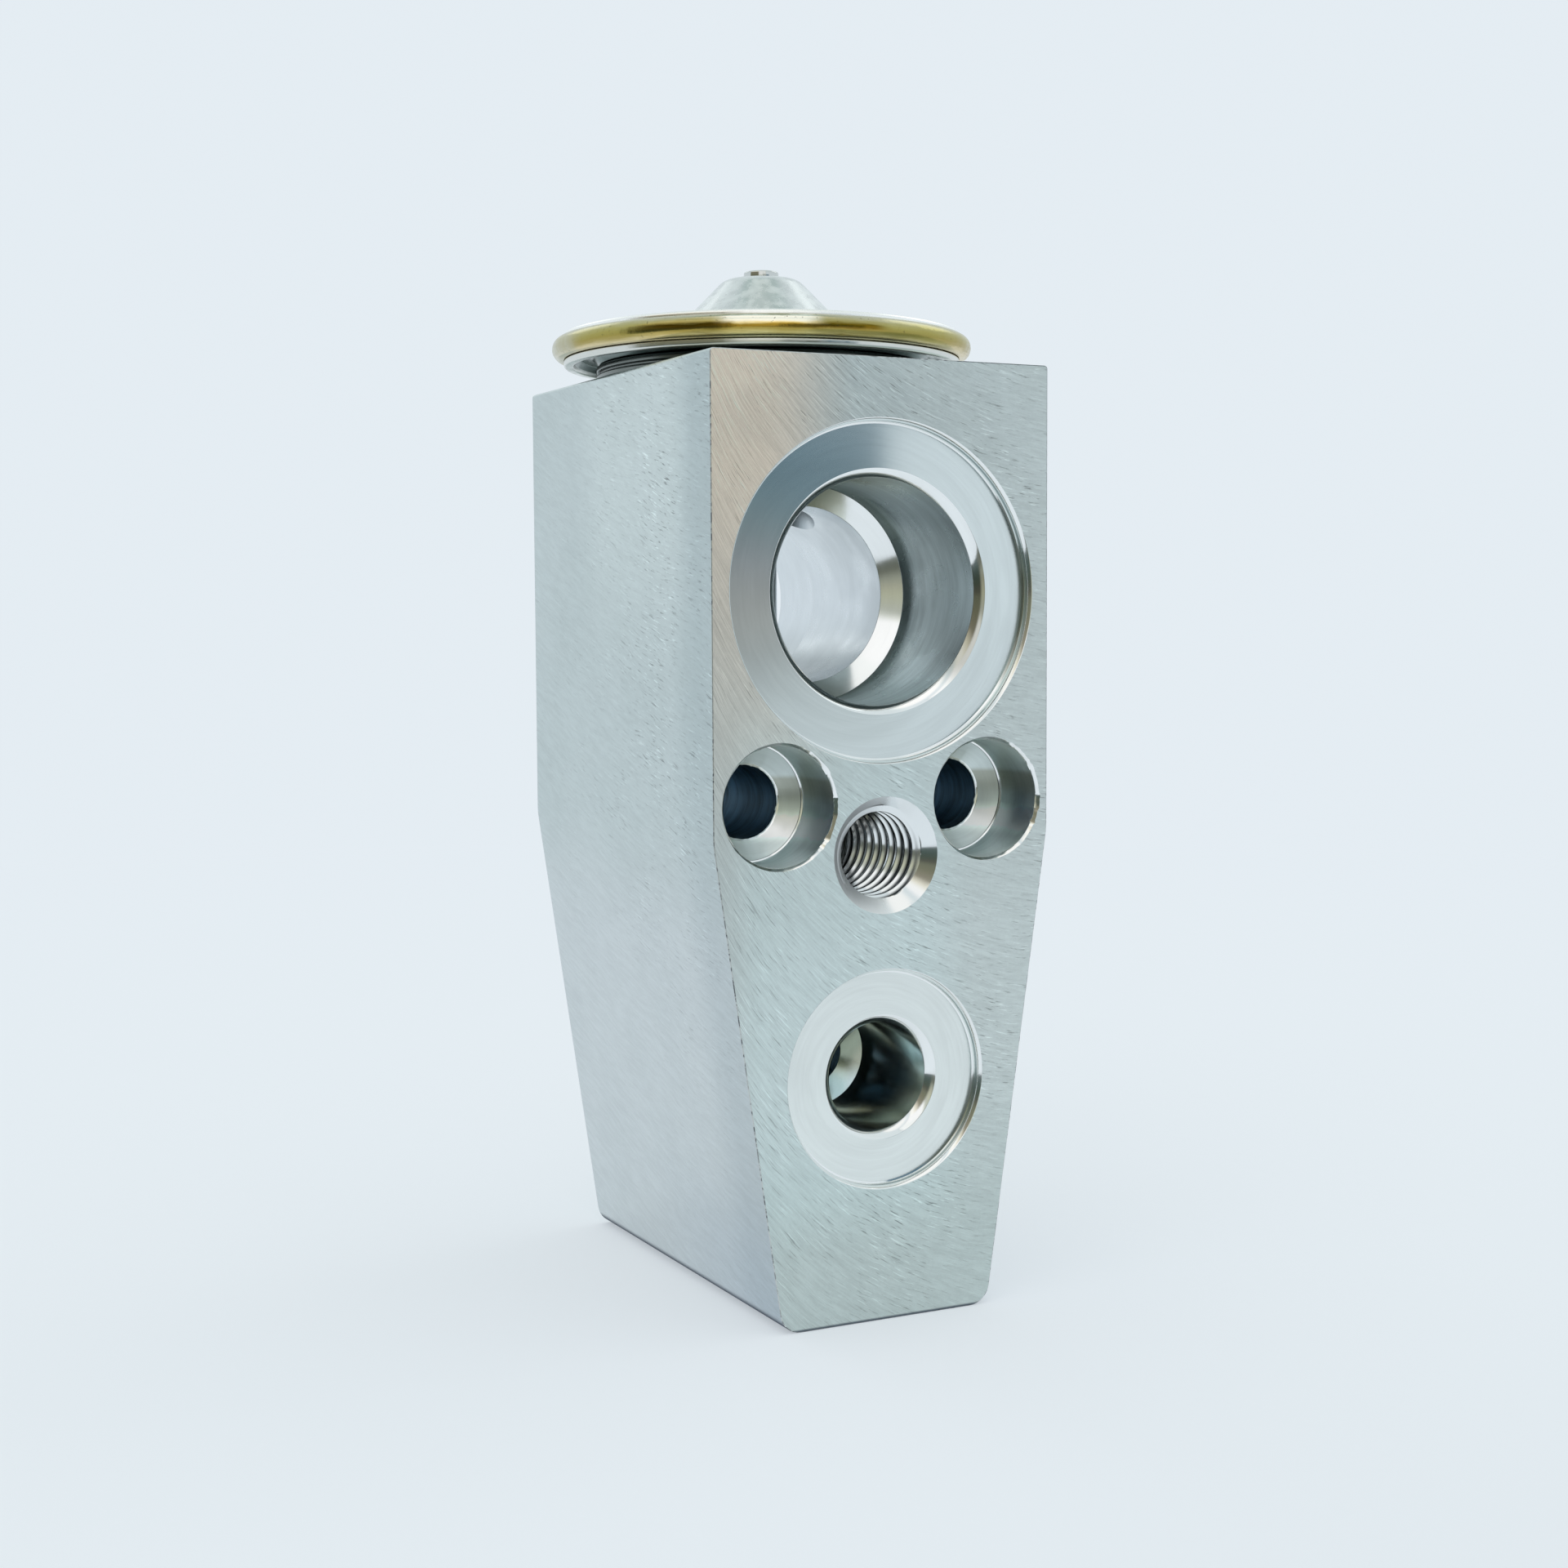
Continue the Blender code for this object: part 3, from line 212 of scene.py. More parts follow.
def grid_faces(rows: np.ndarray, wrap: bool) -> tuple[list[list[int]], np.ndarray]:
    """Joins a grid of corner numbers into faces, with triangles where a row is one point.

    Args:
        rows: Corner numbers, one row for each ring, all the same number at a pole.
        wrap: Whether the last ring joins the first.

    Returns:
        The faces, and the ring that each face starts from.
    """
    beside = np.roll(rows, -1, axis=1)
    quads = np.stack([rows, beside, np.roll(beside, -1, axis=0), np.roll(rows, -1, axis=0)], axis=-1)
    ring = np.repeat(np.arange(len(rows))[:, None], rows.shape[1], axis=1)
    if not wrap:
        quads, ring = quads[:-1], ring[:-1]
    quads, ring = quads.reshape(-1, 4), ring.reshape(-1)
    low = quads[:, 0] == quads[:, 1]
    high = quads[:, 2] == quads[:, 3]
    plain = ~(low | high)
    below, above = low & ~high, high & ~low
    faces = quads[plain].tolist() + quads[below][:, [0, 2, 3]].tolist() + quads[above][:, :3].tolist()
    return faces, np.concatenate([ring[plain], ring[below], ring[above]])


def turned_mesh(
    name: str,
    spindle: Spindle,
    profile: np.ndarray,
    segments: int,
    zones: Sequence[int] | None = None,
    swell: np.ndarray | float = 0.0,
    rise: np.ndarray | float = 0.0,
) -> Mesh:
    """Turns a profile about a spindle into a closed solid.

    Formula: point (i, j) has the i-th radius and height of the profile, plus the swell and rise
    given for (i, j), at the angle 2 pi j / segments. A profile with both ends on the axis closes
    in poles, and any other joins its last point to its first.

    Args:
        name: The mesh's name.
        spindle: Axis of the form.
        profile: Rows of (radius, height).
        segments: Points round the axis.
        zones: Material slot of the band after each profile point.
        swell: Change of radius, for each row and segment.
        rise: Change of height, for each row and segment.
    """
    angle = np.linspace(0.0, math.tau, segments, endpoint=False)
    pole = profile[:, 0] <= 0.0
    radius = np.where(pole[:, None], 0.0, profile[:, :1] + swell + 0.0 * angle)
    height = np.where(pole[:, None], profile[:, 1:], profile[:, 1:] + rise + 0.0 * angle)
    points = spindle.points(radius, height, angle[None] + 0.0 * radius).reshape(-1, 3)
    rows = np.arange(len(points)).reshape(radius.shape)
    rows[pole] = rows[pole, :1]
    faces, ring = grid_faces(rows, not (pole[0] and pole[-1]))
    mesh = solid_mesh(name, points, faces)
    if zones is not None:
        slots = np.array(list(zones) + [zones[-1]], np.int32)[ring]
        mesh.polygons.foreach_set("material_index", slots)
    return mesh


def smooth(mesh: Mesh, degrees: float = 32.0) -> None:
    """Shades a mesh smooth, with edges sharper than the angle kept."""
    mesh.shade_smooth()
    mesh.set_sharp_from_angle(angle=math.radians(degrees))


def add_object(name: str, data: bpy.types.ID) -> bpy.types.Object:
    """Returns a new object that shows some data in the scene."""
    made = bpy.data.objects.new(name, data)
    bpy.context.scene.collection.objects.link(made)
    return made


def add_piece(
    name: str,
    mesh: Mesh,
    materials: Sequence[Material],
    body: str,
    instead_of: Sequence[str] = (),
) -> bpy.types.Object:
    """Adds a finished piece that rides on a body of the valve.

    Args:
        name: The piece's name.
        mesh: Its mesh, already in place.
        materials: Its materials, one for each slot.
        body: The body that carries it.
        instead_of: Solids that it stands for.

    Returns:
        The piece.
    """
    for material in materials:
        mesh.materials.append(material)
    piece = add_object(name, mesh)
    even = piece.modifiers.new("even_shading", "WEIGHTED_NORMAL")
    even.mode = "FACE_AREA"
    even.keep_sharp = True
    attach(piece, body)
    if instead_of:
        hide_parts(*instead_of)
    log.info("%s: %d corners, rides on %s", name, len(mesh.vertices), body)
    return piece


def add_turned(parts: Sequence[tuple[str, Mesh, Material, str, str]], body: str) -> None:
    """Shades turned pieces smooth and adds each of them in place of its solid.

    Args:
        parts: Each piece's name, mesh and material, a finish name that nothing reads, and its solid.
        body: The body that carries them.
    """
    for name, mesh, material, slot, node in parts:
        smooth(mesh, 30.0)
        add_piece(name, mesh, [material], body, [node])


class Sheet:
    """A node tree that is being filled."""

    def __init__(self, tree: bpy.types.NodeTree) -> None:
        """Starts from a tree."""
        self.tree = tree

    def give(self, node: bpy.types.Node, values: dict) -> bpy.types.Node:
        """Gives a node's inputs, by name or number, their values or sockets, and returns the node."""
        for key, value in values.items():
            if isinstance(value, Socket):
                self.tree.links.new(value, node.inputs[key])
            else:
                node.inputs[key].default_value = value
        return node

    def node(self, kind: str, inputs: dict | None = None, **settings: object) -> bpy.types.Node:
        """Adds a node.

        Args:
            kind: The node's type.
            inputs: Values or sockets for its inputs, by name or number.
            settings: Its properties.

        Returns:
            The node.
        """
        node = self.tree.nodes.new(kind)
        for key, value in settings.items():
            setattr(node, key, value)
        return self.give(node, inputs or {})

    def math(self, operation: str, first: object, second: object = 0.0, third: object = 0.0) -> Socket:
        """Returns the result of a Math node on up to three values."""
        inputs = {0: first, 1: second, 2: third}
        return self.node("ShaderNodeMath", inputs, operation=operation).outputs[0]

    def times(self, first: object, second: object) -> Socket:
        """Returns the product of two values."""
        return self.math("MULTIPLY", first, second)

    def plus(self, first: object, second: object) -> Socket:
        """Returns the sum of two values."""
        return self.math("ADD", first, second)

    def less(self, first: object, second: object) -> Socket:
        """Returns the first value less the second."""
        return self.math("SUBTRACT", first, second)

    def scaled(self, value: object, factor: object, base: object) -> Socket:
        """Returns the value times the factor, plus the base."""
        return self.math("MULTIPLY_ADD", value, factor, base)

    def distance(self, across: object, up: object) -> Socket:
        """Returns the length of two sides, as the square root of the sum of their squares."""
        return self.math("SQRT", self.plus(self.times(across, across), self.times(up, up)))

    def remap(self, value: object, low: float, high: float, start: float = 0.0, end: float = 1.0) -> Socket:
        """Returns a value carried smoothly from one range to another."""
        inputs = {"Value": value, "From Min": low, "From Max": high, "To Min": start, "To Max": end}
        return self.node("ShaderNodeMapRange", inputs, interpolation_type="SMOOTHSTEP").outputs["Result"]

    def blend(self, share: object, first: object, second: object, way: str = "MIX") -> Socket:
        """Returns a mix of two colours."""
        inputs = {0: share, 6: first, 7: second}
        return self.node("ShaderNodeMix", inputs, data_type="RGBA", blend_type=way).outputs[2]

    def ramp(self, share: object, bands: Sequence[tuple[float, Colour]]) -> Socket:
        """Returns the colour at a share of a ramp.

        Args:
            share: Place on the ramp, from zero to one.
            bands: The ramp's places and their colours, in order.
        """
        ramp = self.node("ShaderNodeValToRGB", {0: share})
        stops = ramp.color_ramp.elements
        for stop, (place, colour) in zip(stops, (bands[0], bands[-1])):
            stop.position, stop.color = place, full(colour)
        for place, colour in bands[1:-1]:
            stops.new(place).color = full(colour)
        return ramp.outputs[0]

    def vector(self, x: object, y: object, z: object = 0.0) -> Socket:
        """Returns three values as one vector."""
        return self.node("ShaderNodeCombineXYZ", {0: x, 1: y, 2: z}).outputs[0]

    def vector_math(self, operation: str, first: object, second: object) -> Socket:
        """Returns the result of a Vector Math node on two vectors."""
        return self.node("ShaderNodeVectorMath", {0: first, 1: second}, operation=operation).outputs[0]

    def noise(self, place: object, scale: float, detail: float = 2.0, roughness: float = 0.5) -> Socket:
        """Returns a noise value at a place."""
        inputs = {"Vector": place, "Scale": scale, "Detail": detail, "Roughness": roughness}
        return self.node("ShaderNodeTexNoise", inputs).outputs[0]

    def bump(self, height: object, strength: float, depth: float) -> Socket:
        """Returns the normal of a rough surface.

        Args:
            height: Height of the surface, in units of the depth.
            strength: Share of the roughness that shows.
            depth: What a height of one stands for, in millimetres.
        """
        inputs = {"Strength": strength, "Distance": depth * MM, "Height": height}
        return self.node("ShaderNodeBump", inputs).outputs[0]

    def place_in_mm(self) -> tuple[Socket, list[Socket]]:
        """Returns the object's own coordinates in millimetres, whole and by axis."""
        source = self.node("ShaderNodeTexCoord").outputs["Object"]
        place = self.vector_math("MULTIPLY", source, (1000.0, 1000.0, 1000.0))
        return place, list(self.node("ShaderNodeSeparateXYZ", {0: place}).outputs)

    def effect(self, kind: type["Effect"], **values: object) -> dict[str, Socket]:
        """Adds a shared effect with its own values, and returns its results by name."""
        return dict(self.node("ShaderNodeGroup", values, node_tree=kind.tree()).outputs.items())


class Effect:
    """A shared shader effect: a node group with named inputs and outputs, built once.

    An input whose value is the word "vector" is a vector, and the others are numbers.
    """

    name = ""
    inputs: dict[str, float | str] = {}
    outputs: Sequence[str] = ()

    def fill(self, sheet: Sheet, *given: Socket) -> Sequence[Socket]:
        """Builds the inside of the effect.

        Args:
            sheet: The group's tree.
            given: A socket for each input.

        Returns:
            A socket for each output.
        """
        raise NotImplementedError

    @classmethod
    def tree(cls) -> bpy.types.NodeTree:
        """Returns the group, building it the first time."""
        found = bpy.data.node_groups.get(cls.name)
        if found is not None:
            return found
        tree = bpy.data.node_groups.new(cls.name, "ShaderNodeTree")
        for key, value in cls.inputs.items():
            kind = "NodeSocketVector" if isinstance(value, str) else "NodeSocketFloat"
            socket = tree.interface.new_socket(key, in_out="INPUT", socket_type=kind)
            if not isinstance(value, str):
                socket.default_value = value
        for key in cls.outputs:
            tree.interface.new_socket(key, in_out="OUTPUT", socket_type="NodeSocketFloat")
        sheet = Sheet(tree)
        given = list(sheet.node("NodeGroupInput").outputs)[: len(cls.inputs)]
        sheet.node("NodeGroupOutput", dict(zip(cls.outputs, cls().fill(sheet, *given))))
        return tree


class MillArcs(Effect):
    """Marks of a face mill: short broken cuts that lie along one large circle, stepped along the feed."""

    name = "mill_arcs"
    inputs = {"Across": 0.0, "Up": 0.0, "Radius": 38.0, "Centre": 19.0, "Fineness": 3.2, "Seed": 0.0}
    outputs = ("Height", "Streak", "Fleck", "Spark", "Grain")

    def fill(self, sheet: Sheet, *given: Socket) -> Sequence[Socket]:
        """Measures up the face to the arc through each point, and stretches noise along the arcs."""
        across, up, radius, centre, fineness, seed = given
        aside = sheet.less(across, centre)
        square = sheet.less(sheet.times(radius, radius), sheet.times(aside, aside))
        depth = sheet.math("SQRT", sheet.math("MAXIMUM", square, 1.0))
        flat = sheet.vector(across, up, seed)
        wander = sheet.scaled(sheet.noise(flat, 0.14), 1.0, sheet.plus(up, depth))
        wander = sheet.scaled(sheet.noise(flat, 1.2, 1.0), 0.10, wander)
        step = sheet.times(wander, fineness)

        def drawn_out(pace: float, rate: float, layer: object, roughness: float = 0.6) -> Socket:
            """Returns noise that changes at a slow pace along the arcs and at a rate across them."""
            spot = sheet.vector(sheet.times(across, pace), sheet.times(step, rate), layer)
            return sheet.noise(spot, 1.0, 3.0, roughness)

        fine, long_cut = drawn_out(0.5, 1.0, seed), drawn_out(0.16, 0.45, seed, 0.55)
        patch = sheet.remap(sheet.noise(sheet.vector(across, up, 5.0), 0.16), 0.38, 0.64, 0.35)
        fleck = sheet.times(sheet.remap(drawn_out(0.65, 1.9, 7.0), 0.56, 0.70), patch)
        spark = sheet.times(sheet.remap(drawn_out(0.6, 1.9, 31.0), 0.57, 0.70), patch)
        cuts = sheet.scaled(fleck, -0.35, sheet.times(spark, 0.2))
        height = sheet.scaled(long_cut, 0.6, sheet.plus(fine, cuts))
        streak = sheet.scaled(fine, 0.6, sheet.times(long_cut, 0.4))
        return height, streak, fleck, spark, sheet.noise(flat, 4.5, 3.0, 0.65)


class TurningLines(Effect):
    """Fine lines left by a turning or boring tool, by the distance across them."""

    name = "turning_lines"
    inputs = {"Distance": 0.0, "Fineness": 12.0, "Vector": "vector"}
    outputs = ("Height", "Tone")

    def fill(self, sheet: Sheet, *given: Socket) -> Sequence[Socket]:
        """Lays noise across the lines, with a slow change of strength over the surface."""
        distance, fineness, place = given
        step = sheet.times(distance, fineness)
        around = sheet.vector_math("MULTIPLY", place, (0.22, 0.22, 0.22))
        lines = sheet.noise(sheet.vector_math("ADD", around, sheet.vector(step, 0.0)), 1.0, 2.0, 0.7)
        wide = sheet.vector_math("ADD", around, sheet.vector(sheet.times(step, 0.2), 3.0))
        broad = sheet.scaled(sheet.noise(wide, 1.0), 0.6, sheet.times(lines, 0.4))
        patch = sheet.remap(sheet.noise(place, 0.35), 0.3, 0.7, 0.5)
        return sheet.times(lines, patch), broad


class Handling(Effect):
    """Uneven film and faint smears of handled metal."""

    name = "handling"
    inputs = {"Vector": "vector", "Size": 6.0}
    outputs = ("Film", "Speck")

    def fill(self, sheet: Sheet, *given: Socket) -> Sequence[Socket]:
        """Mixes slow noise for the film with sparse small specks."""
        slow = sheet.vector_math("DIVIDE", *given)
        film = sheet.remap(sheet.noise(slow, 1.0, 4.0, 0.6), 0.3, 0.7)
        return film, sheet.remap(sheet.noise(given[0], 2.6), 0.72, 0.8)


def full(colour: Colour) -> tuple[float, float, float, float]:
    """Returns a colour with full cover."""
    return (*colour, 1.0)


def shaded(colour: Colour, factor: float) -> tuple[float, float, float, float]:
    """Returns a colour made lighter or darker, with full cover."""
    return (colour[0] * factor, colour[1] * factor, colour[2] * factor, 1.0)


@dataclass(frozen=True)
class StainAndPaintedLight:
    """Patch of a surface that is warmer, cooler, lighter or darker than the rest. Most patches are painted light,
    painted shade and painted reflections; the rest only shift the tint.

    Each range holds four places along an axis in millimetres: where the patch starts, is full,
    begins to fade and has gone.
    """

    tint: Colour
    x: Span | None = None
    y: Span | None = None
    z: Span | None = None

    def over(self, sheet: Sheet, tone: object, parts: Sequence[Socket]) -> Socket:
        """Returns the tone multiplied by the tint inside the patch.

        Formula: the share is the product of a smooth rise and a smooth fall along each axis given.

        Args:
            sheet: The material's tree.
            tone: The colour before the stain.
            parts: The place in millimetres, by axis.
        """
        share = 1.0
        for place, span in zip(parts, (self.x, self.y, self.z)):
            if span is not None:
                share = sheet.times(share, sheet.remap(place, span[0], span[1]))
                share = sheet.times(share, sheet.remap(place, span[2], span[3], 1.0, 0.0))
        return sheet.blend(share, tone, full(self.tint), "MULTIPLY")


@dataclass(frozen=True)
class Finish:
    """A procedural finish, with the plain colour and roughness that its pattern varies."""

    name: str
    colour: Colour
    roughness: float
    # Patches that paint light, shade and reflections into the colour, with a few plain tints.
    painted_light_and_stains: tuple[StainAndPaintedLight, ...] = field(default=(), kw_only=True)
    metallic: float = field(default=1.0, kw_only=True)

    def material(self) -> Material:
        """Returns the material, whose pattern is measured in the object's own millimetres."""
        material = bpy.data.materials.new(self.name)
        material.use_nodes = True
        material.diffuse_color = full(self.colour)
        sheet = Sheet(material.node_tree)
        plain = {"Base Color": full(self.colour), "Roughness": self.roughness, "Metallic": self.metallic}
        place, parts = sheet.place_in_mm()
        sheet.give(material.node_tree.nodes["Principled BSDF"], {**plain, **self.fill(sheet, place, parts)})
        return material

    def fill(self, sheet: Sheet, place: Socket, parts: list[Socket]) -> dict:
        """Builds the pattern.

        Args:
            sheet: The material's tree.
            place: The place on the piece, in millimetres.
            parts: The same by axis.

        Returns:
            A socket or value for each of the shader's inputs that the pattern sets.
        """
        return {}

    def under_painted_light_and_stains(self, sheet: Sheet, tone: object, parts: Sequence[Socket]) -> Socket:
        """Returns the tone under all the patches of painted light, painted shade and tint."""
        for light_patch in self.painted_light_and_stains:
            tone = light_patch.over(sheet, tone, parts)
        return tone


@dataclass(frozen=True)
class MilledFinish(Finish):
    """Satin aluminium with the broken arcs of a face mill."""

    across_axis: int
    across_sign: float
    radius: float
    centre: float
    fineness: float
    strength: float
    contrast: float
    seed: float
    marks: float
    marks_along: tuple[float, float]
    marks_up: tuple[float, float]
    # Heights over which the painted contact shadow along the foot fades out.
    foot: tuple[float, float]

    def fill(self, sheet: Sheet, place: Socket, parts: list[Socket]) -> dict:
        """Lays arcs in height and tone, thinning out over the face, under an uneven film.

        Formula: the tone runs from dark to light with the streaks and the grain, darkens in the
        flecks and lightens in the sparks, and is multiplied by the patches of painted light and stain
        and by a painted contact shadow along the foot.
        """
        across = sheet.times(parts[self.across_axis], self.across_sign)
        values = {"Across": across, "Up": parts[2], "Radius": self.radius, "Centre": self.centre}
        arcs = sheet.effect(MillArcs, **values, Fineness=self.fineness, Seed=self.seed)
        film = sheet.effect(Handling, Vector=place, Size=9.0)
        share = sheet.remap(parts[self.across_axis], *self.marks_along, 1.0, 0.25)
        share = sheet.times(share, sheet.remap(parts[2], *self.marks_up, 0.25))
        dark, light = shaded(self.colour, 1.0 - self.contrast), shaded(self.colour, 1.0 + self.contrast)
        level = sheet.scaled(arcs["Grain"], 0.2, sheet.times(arcs["Streak"], 0.8))
        tone = sheet.blend(sheet.remap(level, 0.36, 0.64), dark, light)
        for mark, factor in (("Fleck", 0.42), ("Spark", 1.38)):
            seen = sheet.times(sheet.times(arcs[mark], self.marks), share)
            tone = sheet.blend(seen, tone, shaded(self.colour, factor))
        tone = sheet.blend(sheet.times(film["Speck"], 0.25), tone, dark)
        tone = self.under_painted_light_and_stains(sheet, tone, parts)
        # Painted contact shadow: near the floor the colour darkens to blue-grey, with less metal and more roughness.
        foot = sheet.remap(parts[2], *self.foot, 1.0, 0.0)
        rough = sheet.remap(film["Film"], 0.0, 1.0, self.roughness - 0.03, self.roughness + 0.04)
        return {
            "Base Color": sheet.blend(foot, tone, (0.13, 0.15, 0.20, 1.0), "MULTIPLY"),
            "Metallic": sheet.less(1.0, foot),
            "Roughness": sheet.scaled(foot, 0.4, rough),
            "Normal": sheet.bump(sheet.times(arcs["Height"], share), self.strength, 0.03),
        }


@dataclass(frozen=True)
class SeatFinish(Finish):
    """Fine-turned flat seat, whose lines run round its centre."""

    height: float
    anisotropy: float
    fall: float = 0.0

    def fill(self, sheet: Sheet, place: Socket, parts: list[Socket]) -> dict:
        """Lays rings about the seat's centre, with a highlight stretched across them.

        Formula: the height falls with the radius by a small slope, so that the seat leans outwards
        as a fine-turned face does, plus the turning lines.
        """
        up = sheet.less(parts[2], self.height)
        radius = sheet.distance(parts[0], up)
        lines = sheet.effect(TurningLines, Distance=radius, Fineness=4.0, Vector=place)
        slope = sheet.times(radius, -math.tan(math.radians(self.fall)))
        level = sheet.remap(lines["Tone"], 0.3, 0.7)
        return {
            "Base Color": sheet.blend(level, shaded(self.colour, 0.955), shaded(self.colour, 1.045)),
            "Normal": sheet.bump(sheet.scaled(lines["Height"], 0.0016, slope), 1.0, 1.0),
            "Anisotropic": self.anisotropy,
            "Tangent": sheet.vector(parts[0], 0.0, up),
        }


@dataclass(frozen=True)
class BoredFinish(Finish):
    """Bored or turned metal whose lines run round its axis."""

    along_axis: int = 1
    fineness: float = 8.0
    strength: float = 0.3
    contrast: float = 0.06

    def fill(self, sheet: Sheet, place: Socket, parts: list[Socket]) -> dict:
        """Lays lines by the distance along the axis, over uneven film and patches of painted light and shade."""
        distance = parts[self.along_axis]
        lines = sheet.effect(TurningLines, Distance=distance, Fineness=self.fineness, Vector=place)
        film = sheet.effect(Handling, Vector=place, Size=5.0)
        dark, light = shaded(self.colour, 1.0 - self.contrast), shaded(self.colour, 1.0 + self.contrast)
        tone = sheet.blend(sheet.remap(lines["Tone"], 0.3, 0.7), dark, light)
        return {
            "Base Color": self.under_painted_light_and_stains(sheet, tone, parts),
            "Roughness": sheet.remap(film["Film"], 0.0, 1.0, self.roughness * 0.85, self.roughness * 1.2),
            "Normal": sheet.bump(lines["Height"], self.strength, 0.008),
        }


@dataclass(frozen=True)
class ThreadFinish(Finish):
    """Bright cut thread, with painted shade in its roots."""

    root_shade: Colour
    height: float
    root: tuple[float, float]
    mouth: float

    def fill(self, sheet: Sheet, place: Socket, parts: list[Socket]) -> dict:
        """Paints shade into the thread's roots, by the distance from the axis, below the countersink."""
        radius = sheet.distance(parts[0], sheet.less(parts[2], self.height))
        lines = sheet.effect(TurningLines, Distance=radius, Fineness=14.0, Vector=place)
        inside = sheet.remap(parts[1], self.mouth, self.mouth + 0.3)
        # Painted shade in the thread's roots.
        root = sheet.times(sheet.remap(radius, *self.root), inside)
        aside = sheet.times(sheet.remap(parts[0], 1.2, -0.8, 0.0, 0.32), sheet.less(1.0, inside))
        rough = sheet.remap(root, 0.0, 1.0, self.roughness, self.roughness + 0.2)
        return {
            "Base Color": sheet.blend(root, full(self.colour), full(self.root_shade)),
            "Roughness": sheet.plus(rough, aside),
            "Normal": sheet.bump(lines["Height"], 0.03, 0.01),
        }


@dataclass(frozen=True)
class EdgeFinish(Finish):
    """Broken edges: bright where they are clean, with dark ticks of burr."""

    burr: Colour

    def fill(self, sheet: Sheet, place: Socket, parts: list[Socket]) -> dict:
        """Lays uneven ticks along the edges, with a painted contact shadow where the block stands on the floor."""
        tick = sheet.noise(place, 1.6, 3.0, 0.65)
        patch = sheet.remap(sheet.noise(place, 0.12, 1.0), 0.36, 0.56, 0.15)
        share = sheet.times(sheet.remap(tick, 0.46, 0.58), patch)
        tone = self.under_painted_light_and_stains(sheet, sheet.blend(share, full(self.colour), full(self.burr)), parts)
        # Painted contact shadow near the floor: darker and less metallic.
        foot = sheet.remap(parts[2], 0.10, 0.30, 1.0, 0.0)
        burr_and_contact_shade = sheet.math("MAXIMUM", sheet.times(share, 0.8), foot)
        return {
            "Base Color": sheet.blend(foot, tone, (0.30, 0.32, 0.34, 1.0), "MULTIPLY"),
            "Metallic": sheet.less(1.0, burr_and_contact_shade),
            "Normal": sheet.bump(tick, 0.5, 0.02),
        }


@dataclass(frozen=True)
class WeldFinish(Finish):
    """Weld bead tinted by its heat, with painted highlights and reflections, in bands up its section and in patches
    along the rim.
    """

    middle: Bands
    aside: Bands
    far: Bands
    end: Colour
    bottom: float
    height: float
    way: tuple[float, float]

    def fill(self, sheet: Sheet, place: Socket, parts: list[Socket]) -> dict:
        """Lays the heat tints, with painted highlights and painted reflections among them.

        Formula: a ramp of tints by the share of the bead's height, wavered by noise along the rim,
        gives way to a second, a third and a plain one away from the middle of the hose side; the ramps'
        light and dark bands are painted highlights and reflections.
        """
        slow = sheet.less(sheet.noise(place, 0.22), 0.5)
        flat = sheet.vector(sheet.times(parts[0], 0.22), sheet.times(parts[1], 0.22), sheet.times(parts[2], 2.6))
        streak = sheet.noise(flat, 1.3, 4.0, 0.65)
        share = sheet.math("DIVIDE", sheet.less(parts[2], self.bottom), self.height)
        share = sheet.scaled(sheet.less(streak, 0.5), 0.28, share)
        share = sheet.scaled(slow, 0.20, share)
        along = sheet.scaled(parts[1], self.way[1], sheet.times(parts[0], self.way[0]))
        along = sheet.scaled(slow, 5.0, sheet.math("ABSOLUTE", along))
        tone = sheet.ramp(share, self.middle)
        tone = sheet.blend(sheet.remap(along, 2.6, 5.0), tone, sheet.ramp(share, self.aside))
        tone = sheet.blend(sheet.remap(along, 8.0, 11.0), tone, sheet.ramp(share, self.far))
        tone = sheet.blend(sheet.remap(along, 15.6, 18.4), tone, full(self.end))
        scratch = sheet.remap(sheet.noise(place, 3.2, 2.0, 0.6), 0.66, 0.74, 0.0, 0.6)
        return {
            "Base Color": sheet.blend(scratch, tone, (0.12, 0.10, 0.04, 1.0)),
            "Roughness": sheet.remap(streak, 0.3, 0.7, self.roughness * 0.8, self.roughness * 1.3),
            "Normal": sheet.bump(sheet.noise(place, 5.0, 3.0, 0.6), 0.35, 0.02),
        }


@dataclass(frozen=True)
class PressedFinish(Finish):
    """Pressed stainless sheet: satin, cloudy, with a second tone beyond a radius."""

    rim: Colour
    rim_from: tuple[float, float]

    def fill(self, sheet: Sheet, place: Socket, parts: list[Socket]) -> dict:
        """Lays fine grain, small specks and soft cloudy tone."""
        film = sheet.effect(Handling, Vector=place, Size=1.3)
        tone = sheet.blend(film["Film"], shaded(self.colour, 0.90), shaded(self.colour, 1.07))
        tone = sheet.blend(sheet.times(film["Speck"], 0.6), tone, shaded(self.colour, 0.4))
        radius = sheet.distance(parts[0], sheet.less(parts[1], AXIS_Y))
        return {
            "Base Color": sheet.blend(sheet.remap(radius, *self.rim_from), tone, full(self.rim)),
            "Roughness": sheet.remap(film["Film"], 0.0, 1.0, self.roughness * 0.8, self.roughness * 1.25),
            "Normal": sheet.bump(sheet.noise(place, 6.0, 3.0, 0.6), 0.15, 0.01),
        }


@dataclass(frozen=True)
class RubberFinish(Finish):
    """Matt black rubber with a moulded skin."""

    def fill(self, sheet: Sheet, place: Socket, parts: list[Socket]) -> dict:
        """Lays a fine uneven skin."""
        film = sheet.effect(Handling, Vector=place, Size=1.5)
        return {
            "Base Color": sheet.blend(film["Film"], shaded(self.colour, 0.8), shaded(self.colour, 1.4)),
            "Normal": sheet.bump(sheet.noise(place, 7.0), 0.3, 0.02),
        }


